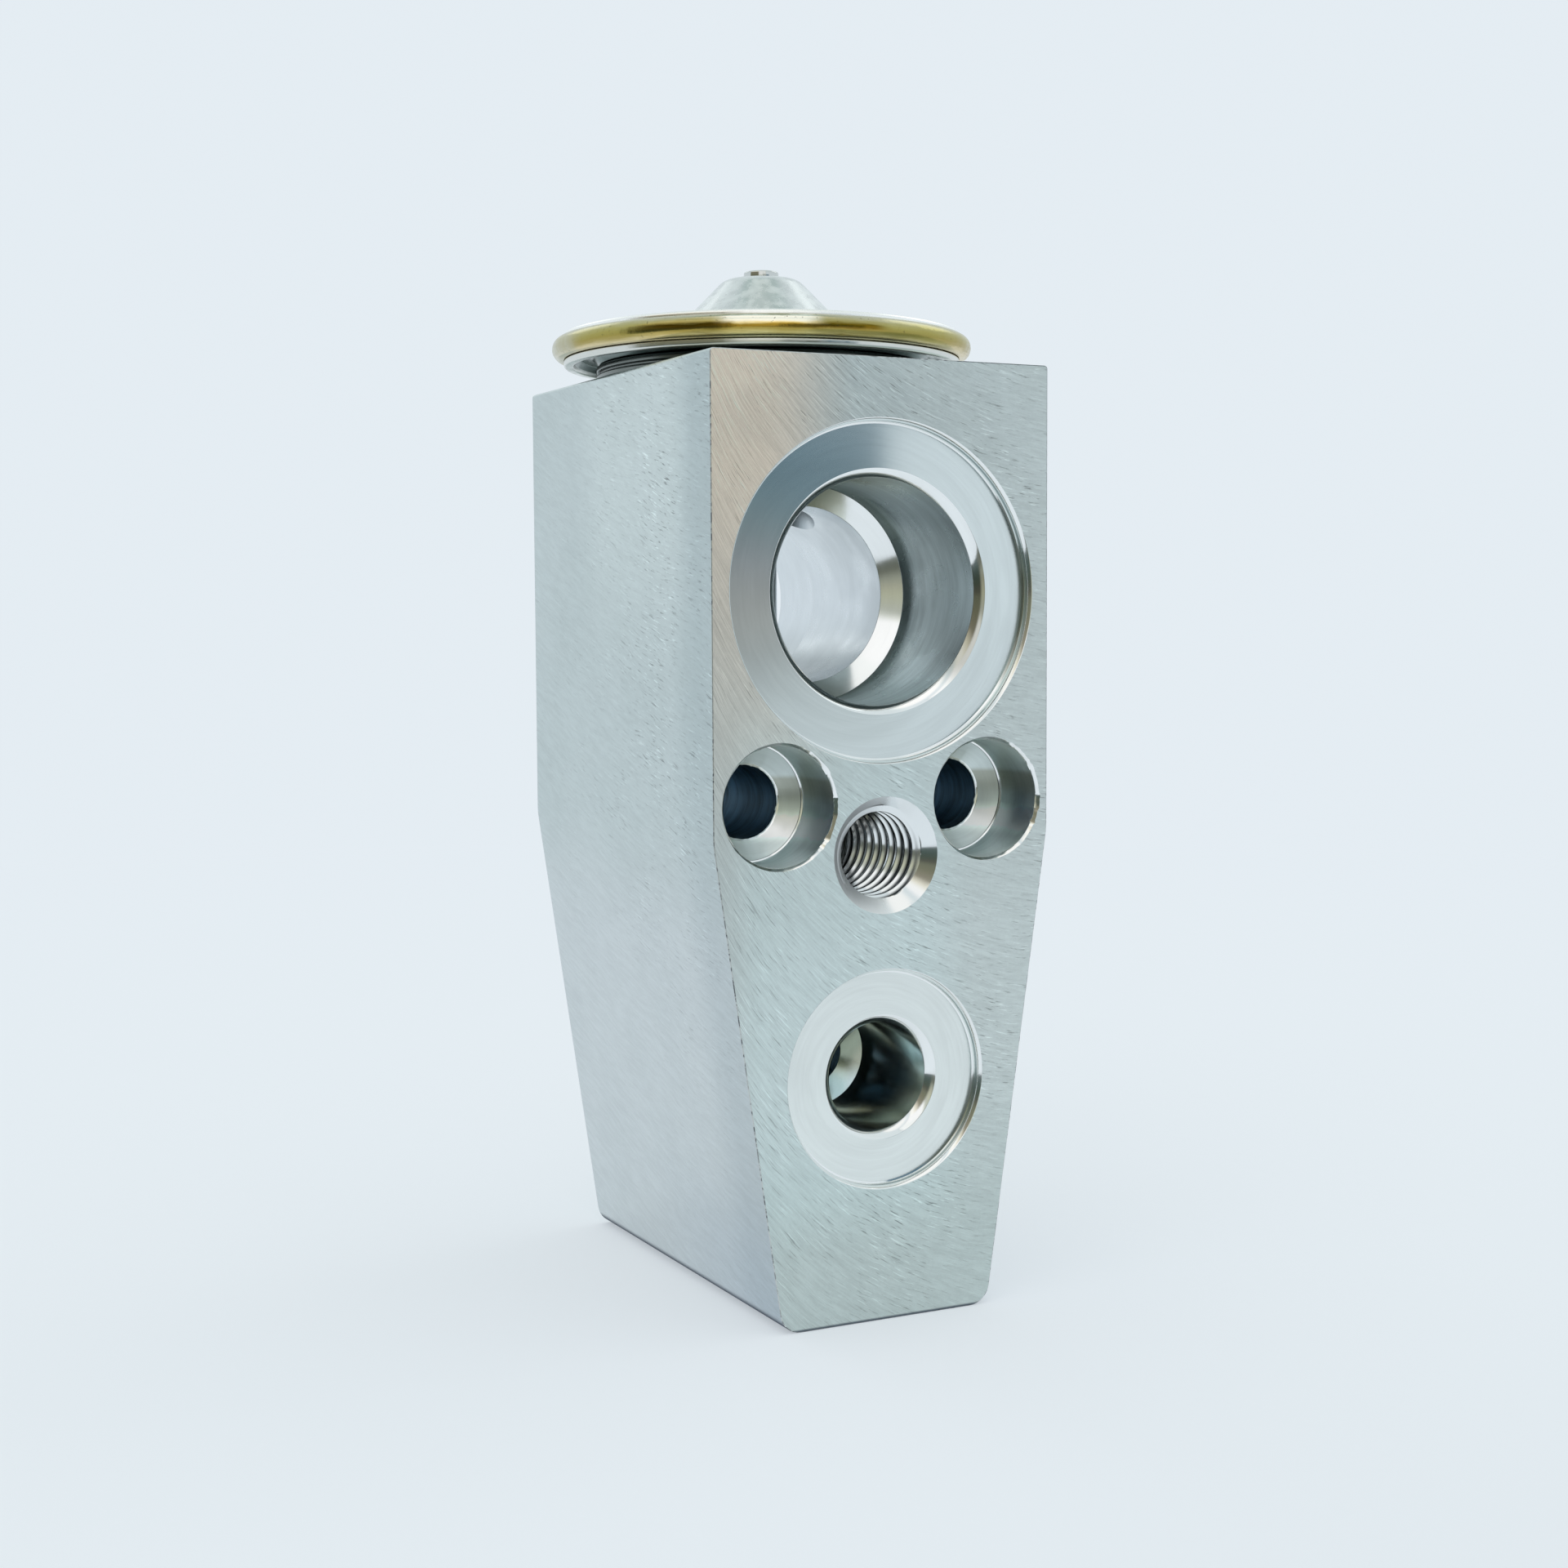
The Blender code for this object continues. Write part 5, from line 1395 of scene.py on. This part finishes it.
@dataclass
class AdjustingScrew:
    """The superheat adjusting screw in the foot, with its hexagon socket."""

    across_flats: float = 6.0
    sink: float = 1.2
    socket_depth: float = 3.2
    columns: int = 96

    def build(self, material: Material) -> None:
        """Builds the screw.

        Formula: every ring is round but those of the socket, whose radius at an angle is half the
        width across flats divided by the cosine of the angle to the middle of its flat.
        """
        angle = np.linspace(0.0, math.tau, self.columns, endpoint=False)
        to_flat = (angle % math.radians(60.0)) - math.radians(30.0)
        hexagon = 0.5 * self.across_flats / np.cos(to_flat)
        top = self.sink + self.socket_depth
        ones = np.ones(self.columns)
        inner = [(hexagon * 0.0, top + 0.9), (hexagon, top), (hexagon, self.sink + 0.18), (hexagon + 0.16, self.sink)]
        outer = [(5.5, self.sink), (5.62, self.sink + 0.04), (5.9, self.sink + 0.32), (5.9, 4.3), (5.6, 4.6)]
        outer += [(5.4, 4.6), (5.4, 5.7), (4.45, 5.7), (4.45, 7.3), (5.4, 7.3), (5.4, 8.1), (5.1, 8.4), (2.6, 8.4)]
        outer += [(2.6, 9.7), (2.3, 10.0), (0.0, 10.0)]
        radius = np.array([ring for ring, _ in inner] + [ones * across for across, _ in outer])
        height = np.array([ones * level for _, level in inner] + [ones * level for _, level in outer])
        points = VALVE_AXIS.points(radius, height, angle[None] + 0.0 * radius)
        index = np.arange(radius.size).reshape(radius.shape)
        index[0], index[-1] = index[0, 0], index[-1, 0]
        faces, _ = grid_faces(index, False)
        mesh = solid_mesh("adjuster", points.reshape(-1, 3), faces)
        smooth(mesh, 30.0)
        add_piece("socket_screw", mesh, [material], ADJUSTER, ["adjusting_screw"])


@dataclass(frozen=True)
class Portrait:
    """Camera of the portrait: a long lens slightly above the passage, left of the hose side."""

    place: tuple[float, float, float] = (-86.85, -175.605, 55.08)
    yaw: float = 26.57
    pitch: float = 3.90
    roll: float = 0.31
    lens: float = 52.05

    def build(self) -> None:
        """Adds the camera and makes it the scene's."""
        yaw, pitch, roll = (math.radians(angle) for angle in (self.yaw, self.pitch, self.roll))
        forward = Vector((math.sin(yaw) * math.cos(pitch), math.cos(yaw) * math.cos(pitch), -math.sin(pitch)))
        level = Vector((math.cos(yaw), -math.sin(yaw), 0.0))
        down = forward.cross(level)
        right = math.cos(roll) * level + math.sin(roll) * down
        below = -math.sin(roll) * level + math.cos(roll) * down
        data = bpy.data.cameras.new("portrait_camera")
        data.lens = self.lens
        data.sensor_width = 36.0
        data.clip_start = 0.01
        data.clip_end = 20.0
        camera = add_object("portrait_camera", data)
        turn = Matrix((right, -below, -forward)).transposed().to_4x4()
        camera.matrix_world = Matrix.Translation(Vector(self.place) * MM) @ turn
        bpy.context.scene.camera = camera


@dataclass(frozen=True)
class Studio:
    """Pale floor, even sky, three soft lamps and the darker room behind the camera.

    Each set of rungs gives the room's colours at angles above the valve, in degrees.
    """

    pale: Colour = (0.78, 0.845, 0.895)
    floor: Colour = (0.95, 0.96, 0.98)
    eye: float = 56.0
    reach: float = 165.0
    screen_edge: float = 26.6
    lamp_target: tuple[float, float, float] = (0.0, 0.0, 0.045)
    left_rungs: Bands = (
        (-19.0, (0.11, 0.14, 0.14)), (-12.0, (0.07, 0.10, 0.09)), (-4.0, (0.07, 0.09, 0.07)),
        (1.5, (0.10, 0.10, 0.08)), (5.0, (0.16, 0.17, 0.12)), (14.0, (0.19, 0.19, 0.13)),
        (27.0, (0.27, 0.25, 0.19)), (31.0, (0.50, 0.47, 0.38)), (37.0, (0.80, 0.76, 0.62)),
        (45.0, (1.0, 0.99, 0.94)),
    )
    middle_rungs: Bands = (
        (-19.0, (0.15, 0.17, 0.15)), (-12.5, (0.14, 0.15, 0.12)), (-8.0, (0.33, 0.35, 0.29)),
        (-3.0, (0.45, 0.45, 0.35)), (2.0, (0.52, 0.53, 0.40)), (11.0, (0.52, 0.54, 0.48)),
        (14.5, (0.80, 0.82, 0.76)), (17.0, (1.0, 1.0, 1.0)),
    )
    gap_rungs: Bands = (
        (-19.0, (0.15, 0.17, 0.17)), (-10.0, (0.10, 0.12, 0.11)), (10.0, (0.10, 0.12, 0.10)),
        (16.0, (0.60, 0.62, 0.60)), (22.0, (0.95, 0.97, 0.96)),
    )
    screen_rungs: Bands = (
        (-8.0, (0.62, 0.68, 0.70)), (-6.0, (0.52, 0.56, 0.58)), (-4.0, (0.41, 0.44, 0.45)),
        (-1.3, (0.45, 0.45, 0.44)), (1.5, (0.37, 0.37, 0.37)), (4.3, (0.28, 0.30, 0.33)),
        (7.0, (0.17, 0.24, 0.26)), (9.5, (0.10, 0.18, 0.23)), (14.0, (0.08, 0.16, 0.22)),
    )

    def world(self) -> None:
        """Lights the scene evenly, with a window just ahead of the zenith and a darker patch behind it."""
        world = bpy.data.worlds.new("studio_world")
        bpy.context.scene.world = world
        world.use_nodes = True
        sheet = Sheet(world.node_tree)
        ground = world.node_tree.nodes["Background"]
        way = sheet.node("ShaderNodeTexCoord").outputs["Generated"]
        x, y, up = list(sheet.node("ShaderNodeSeparateXYZ", {0: way}).outputs)
        high = sheet.blend(sheet.remap(up, 0.1, 0.8), full(self.pale), (0.71, 0.78, 0.80, 1.0))
        ahead = sheet.scaled(y, -0.894, sheet.times(x, -0.447))
        window = sheet.remap(ahead, -0.13, -0.03)
        cap = sheet.blend(window, (0.40, 0.52, 0.51, 1.0), (1.0, 1.0, 0.98, 1.0))
        sky = sheet.blend(sheet.remap(up, 0.89, 0.95), high, cap)
        seen = sheet.node("ShaderNodeLightPath").outputs["Is Camera Ray"]
        sheet.give(ground, {"Color": sheet.blend(seen, sky, full(self.pale)), "Strength": 1.0})

    def ground(self) -> None:
        """Adds the floor, which fades into the background away from the valve."""
        ring = np.array([(0.0, -3.0), (0.0, 0.0), (4000.0, 0.0), (4000.0, -3.0)])
        mesh = turned_mesh("floor", Spindle(0.0, 0.0, -0.02, Heading.UP), ring, 96)
        material = Finish("pale_floor", self.floor, 0.9, metallic=0.0).material()
        sheet = Sheet(material.node_tree)
        shader = sheet.give(material.node_tree.nodes["Principled BSDF"], {"Specular IOR Level": 0.0})
        place, parts = sheet.place_in_mm()
        far = sheet.node("ShaderNodeVectorMath", {0: place}, operation="LENGTH").outputs["Value"]
        path = sheet.node("ShaderNodeLightPath").outputs
        seen = sheet.math("MAXIMUM", path["Is Camera Ray"], path["Is Glossy Ray"])
        seen = sheet.math("MAXIMUM", seen, path["Is Transmission Ray"])
        share = sheet.times(sheet.remap(far, 10.0, 380.0, 0.5, 1.0), seen)
        # Painted shade on the floor's glow: a little darker towards the front.
        front = sheet.remap(parts[1], -45.0, -115.0)
        pale = sheet.blend(front, full(self.pale), shaded(self.pale, 0.93))
        glow = sheet.node("ShaderNodeEmission", {"Color": pale, "Strength": 1.0})
        mix = sheet.node("ShaderNodeMixShader", {0: share, 1: shader.outputs[0], 2: glow.outputs[0]})
        sheet.give(sheet.tree.nodes["Material Output"], {"Surface": mix.outputs[0]})
        mesh.materials.append(material)
        add_object("floor", mesh)

    def room(self) -> None:
        """Adds the room round the camera, seen only in the polished metal.

        Formula: a wall on a circle round the valve, whose point (i, j) lies at the i-th height and
        the j-th bearing.
        """
        bearing = np.radians(np.linspace(-100.0, 30.0, 66))
        rise = np.radians(np.linspace(-18.7, 60.0, 60))
        level = self.eye + self.reach * np.tan(rise)
        x = self.reach * np.sin(bearing)[None] + 0.0 * level[:, None]
        y = -self.reach * np.cos(bearing)[None] + 0.0 * level[:, None]
        points = np.stack([x, y, level[:, None] + 0.0 * x], axis=-1)
        index = np.arange(x.size).reshape(x.shape)
        quads = np.stack([index[:-1, :-1], index[:-1, 1:], index[1:, 1:], index[1:, :-1]], axis=-1).reshape(-1, 4)
        mesh = bpy.data.meshes.new("room_wall")
        mesh.from_pydata(points.reshape(-1, 3) * MM, [], quads.tolist())
        mesh.materials.append(self.room_colours())
        wall = add_object("room_wall", mesh)
        for ray in ("camera", "diffuse", "shadow", "transmission"):
            setattr(wall, f"visible_{ray}", False)

    def ladder(self, sheet: Sheet, rise: object, rungs: Bands) -> Socket:
        """Returns a colour that changes with the angle above the valve.

        Args:
            sheet: The material's tree.
            rise: The angle above the valve, in degrees.
            rungs: Angles with their colours, from the lowest up.
        """
        low, high = rungs[0][0], rungs[-1][0]
        share = sheet.node("ShaderNodeMapRange", {0: rise, 1: low, 2: high}).outputs[0]
        return sheet.ramp(share, [((angle - low) / (high - low), colour) for angle, colour in rungs])

    def room_colours(self) -> Material:
        """Returns the room's glow: dark and gold at the left, windows above, a dark screen at the right."""
        material = bpy.data.materials.new("room_colours")
        material.use_nodes = True
        sheet = Sheet(material.node_tree)
        sheet.tree.nodes.remove(sheet.tree.nodes["Principled BSDF"])
        place, parts = sheet.place_in_mm()
        lift = sheet.math("DIVIDE", sheet.less(parts[2], self.eye), self.reach)
        rise = sheet.math("DEGREES", sheet.math("ARCTANGENT", lift))
        turn = sheet.math("ARCTAN2", parts[0], sheet.times(parts[1], -1.0))
        bearing = sheet.math("DEGREES", turn)
        colour = self.ladder(sheet, rise, self.left_rungs)
        further = ((-48.0, -36.0, self.middle_rungs), (-18.0, -14.0, self.gap_rungs), (3.0, 12.0, self.screen_rungs))
        for start, end, rungs in further:
            colour = sheet.blend(sheet.remap(bearing, start, end), colour, self.ladder(sheet, rise, rungs))
        over = sheet.remap(bearing, self.screen_edge - 0.6, self.screen_edge + 0.6)
        above = sheet.remap(rise, 50.0, 59.0)
        low = sheet.times(sheet.remap(rise, -10.0, -7.0, 1.0, 0.0), sheet.remap(bearing, 2.0, 8.0))
        high = sheet.times(sheet.remap(rise, 14.0, 19.0), sheet.remap(bearing, 2.0, 10.0))
        open_share = sheet.math("MAXIMUM", sheet.math("MAXIMUM", over, above), sheet.math("MAXIMUM", low, high))
        glow = sheet.node("ShaderNodeEmission", {"Color": colour, "Strength": 1.0})
        clear = sheet.node("ShaderNodeBsdfTransparent")
        mix = sheet.node("ShaderNodeMixShader", {0: open_share, 1: glow.outputs[0], 2: clear.outputs[0]})
        sheet.give(sheet.tree.nodes["Material Output"], {"Surface": mix.outputs[0]})
        return material

    def lamps(self) -> None:
        """Adds the soft lamps. The one at the left isn't seen in the metal, where the windows are."""
        for name, place, size, power, seen in (
            ("left_lamp", (-0.42, -0.40, 0.62), 0.55, 0.55, False),
            ("right_lamp", (0.60, 0.10, 0.55), 0.40, 0.30, True),
            ("back_lamp", (-0.20, 0.62, 0.52), 0.30, 0.15, True),
        ):
            data = bpy.data.lights.new(name, "AREA")
            data.shape = "SQUARE"
            data.size = size
            data.energy = power
            lamp = add_object(name, data)
            lamp.visible_glossy = seen
            lamp.location = place
            aim = Vector(self.lamp_target) - Vector(place)
            lamp.rotation_euler = aim.to_track_quat("-Z", "Y").to_euler()

    def build(self) -> None:
        """Builds the whole studio."""
        self.world()
        self.ground()
        self.room()
        self.lamps()


@dataclass
class ExpansionValve:
    """The whole valve and the finishes that its pieces share."""

    def finishes(self) -> dict[str, Material]:
        """Returns each finish's material by its name."""
        mouth = (-19.2, -19.1, -18.2, -17.8)
        drill_cone, liquid_cone = (-9.0, -8.5, -4.0, -3.0), (-9.5, -9.0, -5.0, -4.0)
        plain = [
            MilledFinish(
                "milled_face", (0.645, 0.705, 0.69), 0.38, across_axis=0, across_sign=1.0, radius=37.5, centre=18.75,
                fineness=3.0, strength=0.6, contrast=0.075, seed=1.0, marks=0.95,
                marks_along=(30.0, 31.0), marks_up=(-2.0, -1.0), foot=(0.10, 0.30),
                painted_light_and_stains=(
                    # Warmer and lighter at the upper left; painted light, lighter and cooler, in the middle; painted
                    # shade towards the bottom.
                    StainAndPaintedLight((1.54, 1.21, 1.02), x=(-31.0, -30.0, -11.0, -2.0), z=(34.0, 72.0, 80.0, 81.0)),
                    StainAndPaintedLight((1.06, 1.10, 1.11), x=(-14.5, -11.0, 2.0, 9.0), z=(5.0, 12.0, 44.0, 52.0)),
                    StainAndPaintedLight((0.88, 0.91, 0.90), z=(-2.0, -1.0, 6.0, 20.0)),
                ),
            ),
            MilledFinish(
                "milled_flank", (0.65, 0.695, 0.705), 0.34, across_axis=1, across_sign=-1.0, radius=400.0,
                centre=118.0, fineness=2.8, strength=0.35, contrast=0.05, seed=4.0, marks=1.0,
                marks_along=(-12.0, 10.0), marks_up=(16.0, 46.0), foot=(0.55, 1.25),
                painted_light_and_stains=(
                    # Painted light high up, a little behind the front edge; painted shade along the front edge and over
                    # the upper part; a cooler painted shade low towards the front.
                    StainAndPaintedLight((1.11, 1.10, 1.09), y=(-17.5, -13.0, 0.0, 9.0), z=(48.0, 66.0, 80.0, 81.0)),
                    StainAndPaintedLight((0.88, 0.90, 0.91), y=(-30.0, -29.0, -17.5, -11.0), z=(-2.0, -1.0, 90.0, 91.0)),
                    StainAndPaintedLight((0.90, 0.94, 0.92), z=(28.0, 42.0, 80.0, 81.0)),
                    StainAndPaintedLight((0.90, 0.93, 0.97), y=(-30.0, -29.0, -16.0, 6.0), z=(-2.0, -1.0, 2.0, 14.0)),
                ),
            ),
            EdgeFinish(
                "broken_edge", (0.62, 0.65, 0.64), 0.36, burr=(0.10, 0.11, 0.12),
                painted_light_and_stains=(
                    StainAndPaintedLight((0.28, 0.32, 0.33), x=(3.0, 9.0, 20.0, 21.0), z=(75.85, 75.97, 80.0, 81.0)),
                    StainAndPaintedLight((0.45, 0.48, 0.50), x=(14.86, 14.92, 20.0, 21.0), z=(38.0, 44.0, 80.0, 81.0)),
                ),
            ),
            SeatFinish("suction_seat", (0.735, 0.795, 0.79), 0.16, height=58.0, anisotropy=0.7, fall=2.4),
            SeatFinish("liquid_seat", (0.82, 0.86, 0.84), 0.20, height=19.4, anisotropy=0.5),
            SeatFinish("outlet_seat", (0.78, 0.82, 0.81), 0.20, height=29.0, anisotropy=0.5, fall=1.5),
            BoredFinish(
                "port_chamfer", (0.93, 0.945, 0.94), 0.10, fineness=10.0, strength=0.06, contrast=0.02,
                painted_light_and_stains=(
                    # Painted reflections on the chamfers: darker across the suction mouth's right side with a lighter
                    # patch below it, painted shade on the suction port's drill cone, and a darker, warmer band on the
                    # liquid port's cone.
                    StainAndPaintedLight((0.60, 0.60, 0.56), (5.0, 7.0, 20.0, 21.0), mouth, (50.0, 52.5, 59.0, 60.5)),
                    StainAndPaintedLight((1.10, 1.09, 1.08), (1.0, 3.0, 20.0, 21.0), mouth, (40.0, 41.0, 50.0, 51.5)),
                    StainAndPaintedLight((0.80, 0.81, 0.80), (3.0, 5.0, 12.0, 13.0), drill_cone, (55.5, 56.5, 60.5, 61.5)),
                    StainAndPaintedLight((0.62, 0.56, 0.44), (-9.0, -8.0, 8.0, 9.0), liquid_cone, (16.5, 18.5, 24.8, 25.2)),
                ),
            ),
            BoredFinish(
                "port_wall", (0.43, 0.49, 0.49), 0.28, fineness=5.0, strength=0.35, contrast=0.14,
                # Painted light: the port wall is lighter towards its bottom.
                painted_light_and_stains=(StainAndPaintedLight((1.66, 1.62, 1.58), z=(48.4, 48.8, 50.5, 56.0)),),
            ),
            BoredFinish(
                "passage_wall", (0.76, 0.80, 0.82), 0.30, fineness=3.0, strength=0.2, contrast=0.035,
                # Painted shade: the passage is darker towards its bottom.
                painted_light_and_stains=(StainAndPaintedLight((0.5, 0.52, 0.52), z=(40.0, 41.0, 51.0, 56.0)),),
            ),
            BoredFinish(
                "counterbore_wall", (0.70, 0.775, 0.77), 0.34, fineness=5.0, strength=0.3, contrast=0.08,
                painted_light_and_stains=(
                    # Painted reflections across the counterbore walls: a darker, warmer band at the bolt's axis height
                    # and a lighter band just below it.
                    StainAndPaintedLight((0.68, 0.65, 0.58), z=(40.8, 42.3, 43.1, 43.6)),
                    StainAndPaintedLight((1.58, 1.60, 1.54), z=(37.9, 39.1, 39.6, 41.0)),
                ),
            ),
            # Painted shade: the deep holes' walls are given a dark blue-grey so that they look dark inside.
            BoredFinish("deep_hole_wall", (0.20, 0.32, 0.40), 0.40, fineness=5.0, strength=0.5, contrast=0.4),
            BoredFinish("liquid_port_wall", (0.78, 0.87, 0.87), 0.17, fineness=4.0, strength=0.12),
            ThreadFinish(
                "cut_thread", (0.87, 0.895, 0.90), 0.11,
                root_shade=(0.02, 0.025, 0.03), height=37.25, root=(3.50, 3.74), mouth=FRONT_Y + 1.45,
            ),
            BoredFinish("turned_steel", (0.70, 0.72, 0.72), 0.24, 2, 14.0, 0.3, 0.05),
            BoredFinish("bright_steel", (0.82, 0.83, 0.83), 0.10, 2, 10.0, 0.08, 0.03),
            BoredFinish("turned_brass", (0.74, 0.57, 0.29), 0.26, 2, 12.0, 0.25, 0.06),
            BoredFinish("drawn_spring", (0.42, 0.44, 0.46), 0.28, 2, 5.0, 0.2, 0.1),
            # Painted highlight: the flange's outer edge, beyond a radius of 16.4, is near white.
            PressedFinish("pressed_cover", (0.78, 0.81, 0.80), 0.28, rim=(1.0, 1.0, 0.97), rim_from=(16.4, 16.7)),
            # Painted shade: the lower plate is dark where it lies under the capsule, with only its turned-down rim
            # pale.
            PressedFinish("lower_plate", (0.16, 0.20, 0.19), 0.20, rim=(0.72, 0.73, 0.69), rim_from=(16.05, 16.2)),
            # Painted shade: the boss under the capsule is given a dark steel colour.
            BoredFinish("boss_turning", (0.19, 0.21, 0.20), 0.24, 2, 4.0, 0.1, 0.08),
            BoredFinish("polished_plug", (0.66, 0.68, 0.66), 0.06, 2, 10.0, 0.04, 0.03),
            WeldFinish(
                "heat_tinted_weld", (0.40, 0.32, 0.08), 0.20,
                # The middle ramp's cream band high up is a painted highlight and its pale bottom a painted light; the
                # aside ramp's dark brown band is a painted reflection.
                middle=(
                    (0.04, (1.0, 0.92, 0.55)), (0.16, (0.95, 0.76, 0.32)), (0.30, (0.78, 0.55, 0.14)),
                    (0.44, (0.68, 0.41, 0.05)), (0.50, (0.62, 0.41, 0.08)), (0.57, (0.95, 0.80, 0.42)),
                    (0.66, (1.0, 0.96, 0.80)), (0.86, (1.0, 0.98, 0.86)), (0.92, (0.40, 0.38, 0.22)),
                ),
                aside=(
                    (0.05, (0.95, 0.80, 0.45)), (0.18, (0.60, 0.47, 0.17)), (0.33, (0.45, 0.34, 0.08)),
                    (0.46, (0.30, 0.18, 0.02)), (0.54, (0.17, 0.11, 0.005)), (0.63, (0.38, 0.32, 0.10)),
                    (0.76, (0.50, 0.44, 0.20)), (0.94, (0.58, 0.56, 0.42)),
                ),
                far=(
                    (0.05, (0.72, 0.60, 0.34)), (0.18, (0.46, 0.37, 0.13)), (0.33, (0.40, 0.32, 0.08)),
                    (0.50, (0.42, 0.36, 0.10)), (0.67, (0.48, 0.43, 0.16)), (0.80, (0.54, 0.50, 0.27)),
                    (0.93, (0.60, 0.58, 0.42)),
                ),
                end=(0.52, 0.50, 0.36), bottom=78.10, height=1.84, way=(0.894, -0.447),
            ),
            RubberFinish("black_rubber", (0.035, 0.045, 0.04), 0.55, metallic=0.0),
        ]
        return {finish.name: finish.material() for finish in plain}

    def dress_solids(self, finish: dict[str, Material]) -> None:
        """Gives the solids that stay their finishes.

        Args:
            finish: The materials by name.
        """
        chosen = {
            "damping_spring": "drawn_spring",
            "diaphragm": "pressed_cover",
            "adjusting_screw_seal": "black_rubber",
            "rod_seal_ring": "black_rubber",
            "element_seal_ring": "black_rubber",
        }
        for node, name in chosen.items():
            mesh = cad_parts[node].data
            mesh.materials.clear()
            mesh.materials.append(finish[name])
            log.info("%s: %s", node, name)

    def build(self) -> None:
        """Builds every piece of the valve."""
        finish = self.finishes()
        zones = ["milled_face", "milled_flank", "broken_edge", "suction_seat", "liquid_seat", "outlet_seat"]
        zones += ["port_chamfer", "port_wall", "passage_wall", "counterbore_wall", "deep_hole_wall", "liquid_port_wall"]
        ValveBody().build([finish[name] for name in zones])
        StudThread().build([finish["cut_thread"]])
        Capsule().build(finish)
        ValveTrain().build(finish["turned_steel"], finish["bright_steel"])
        CoilSpring().build(finish["drawn_spring"])
        AdjustingScrew().build(finish["turned_brass"])
        self.dress_solids(finish)


def main() -> None:
    """Builds the valve and its studio."""
    logging.basicConfig(level=logging.INFO, format="%(message)s")
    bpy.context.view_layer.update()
    bpy.context.scene.view_settings.view_transform = "Standard"
    Portrait().build()
    ExpansionValve().build()
    Studio().build()
    bpy.context.view_layer.update()


if __name__ == "__main__":
    main()
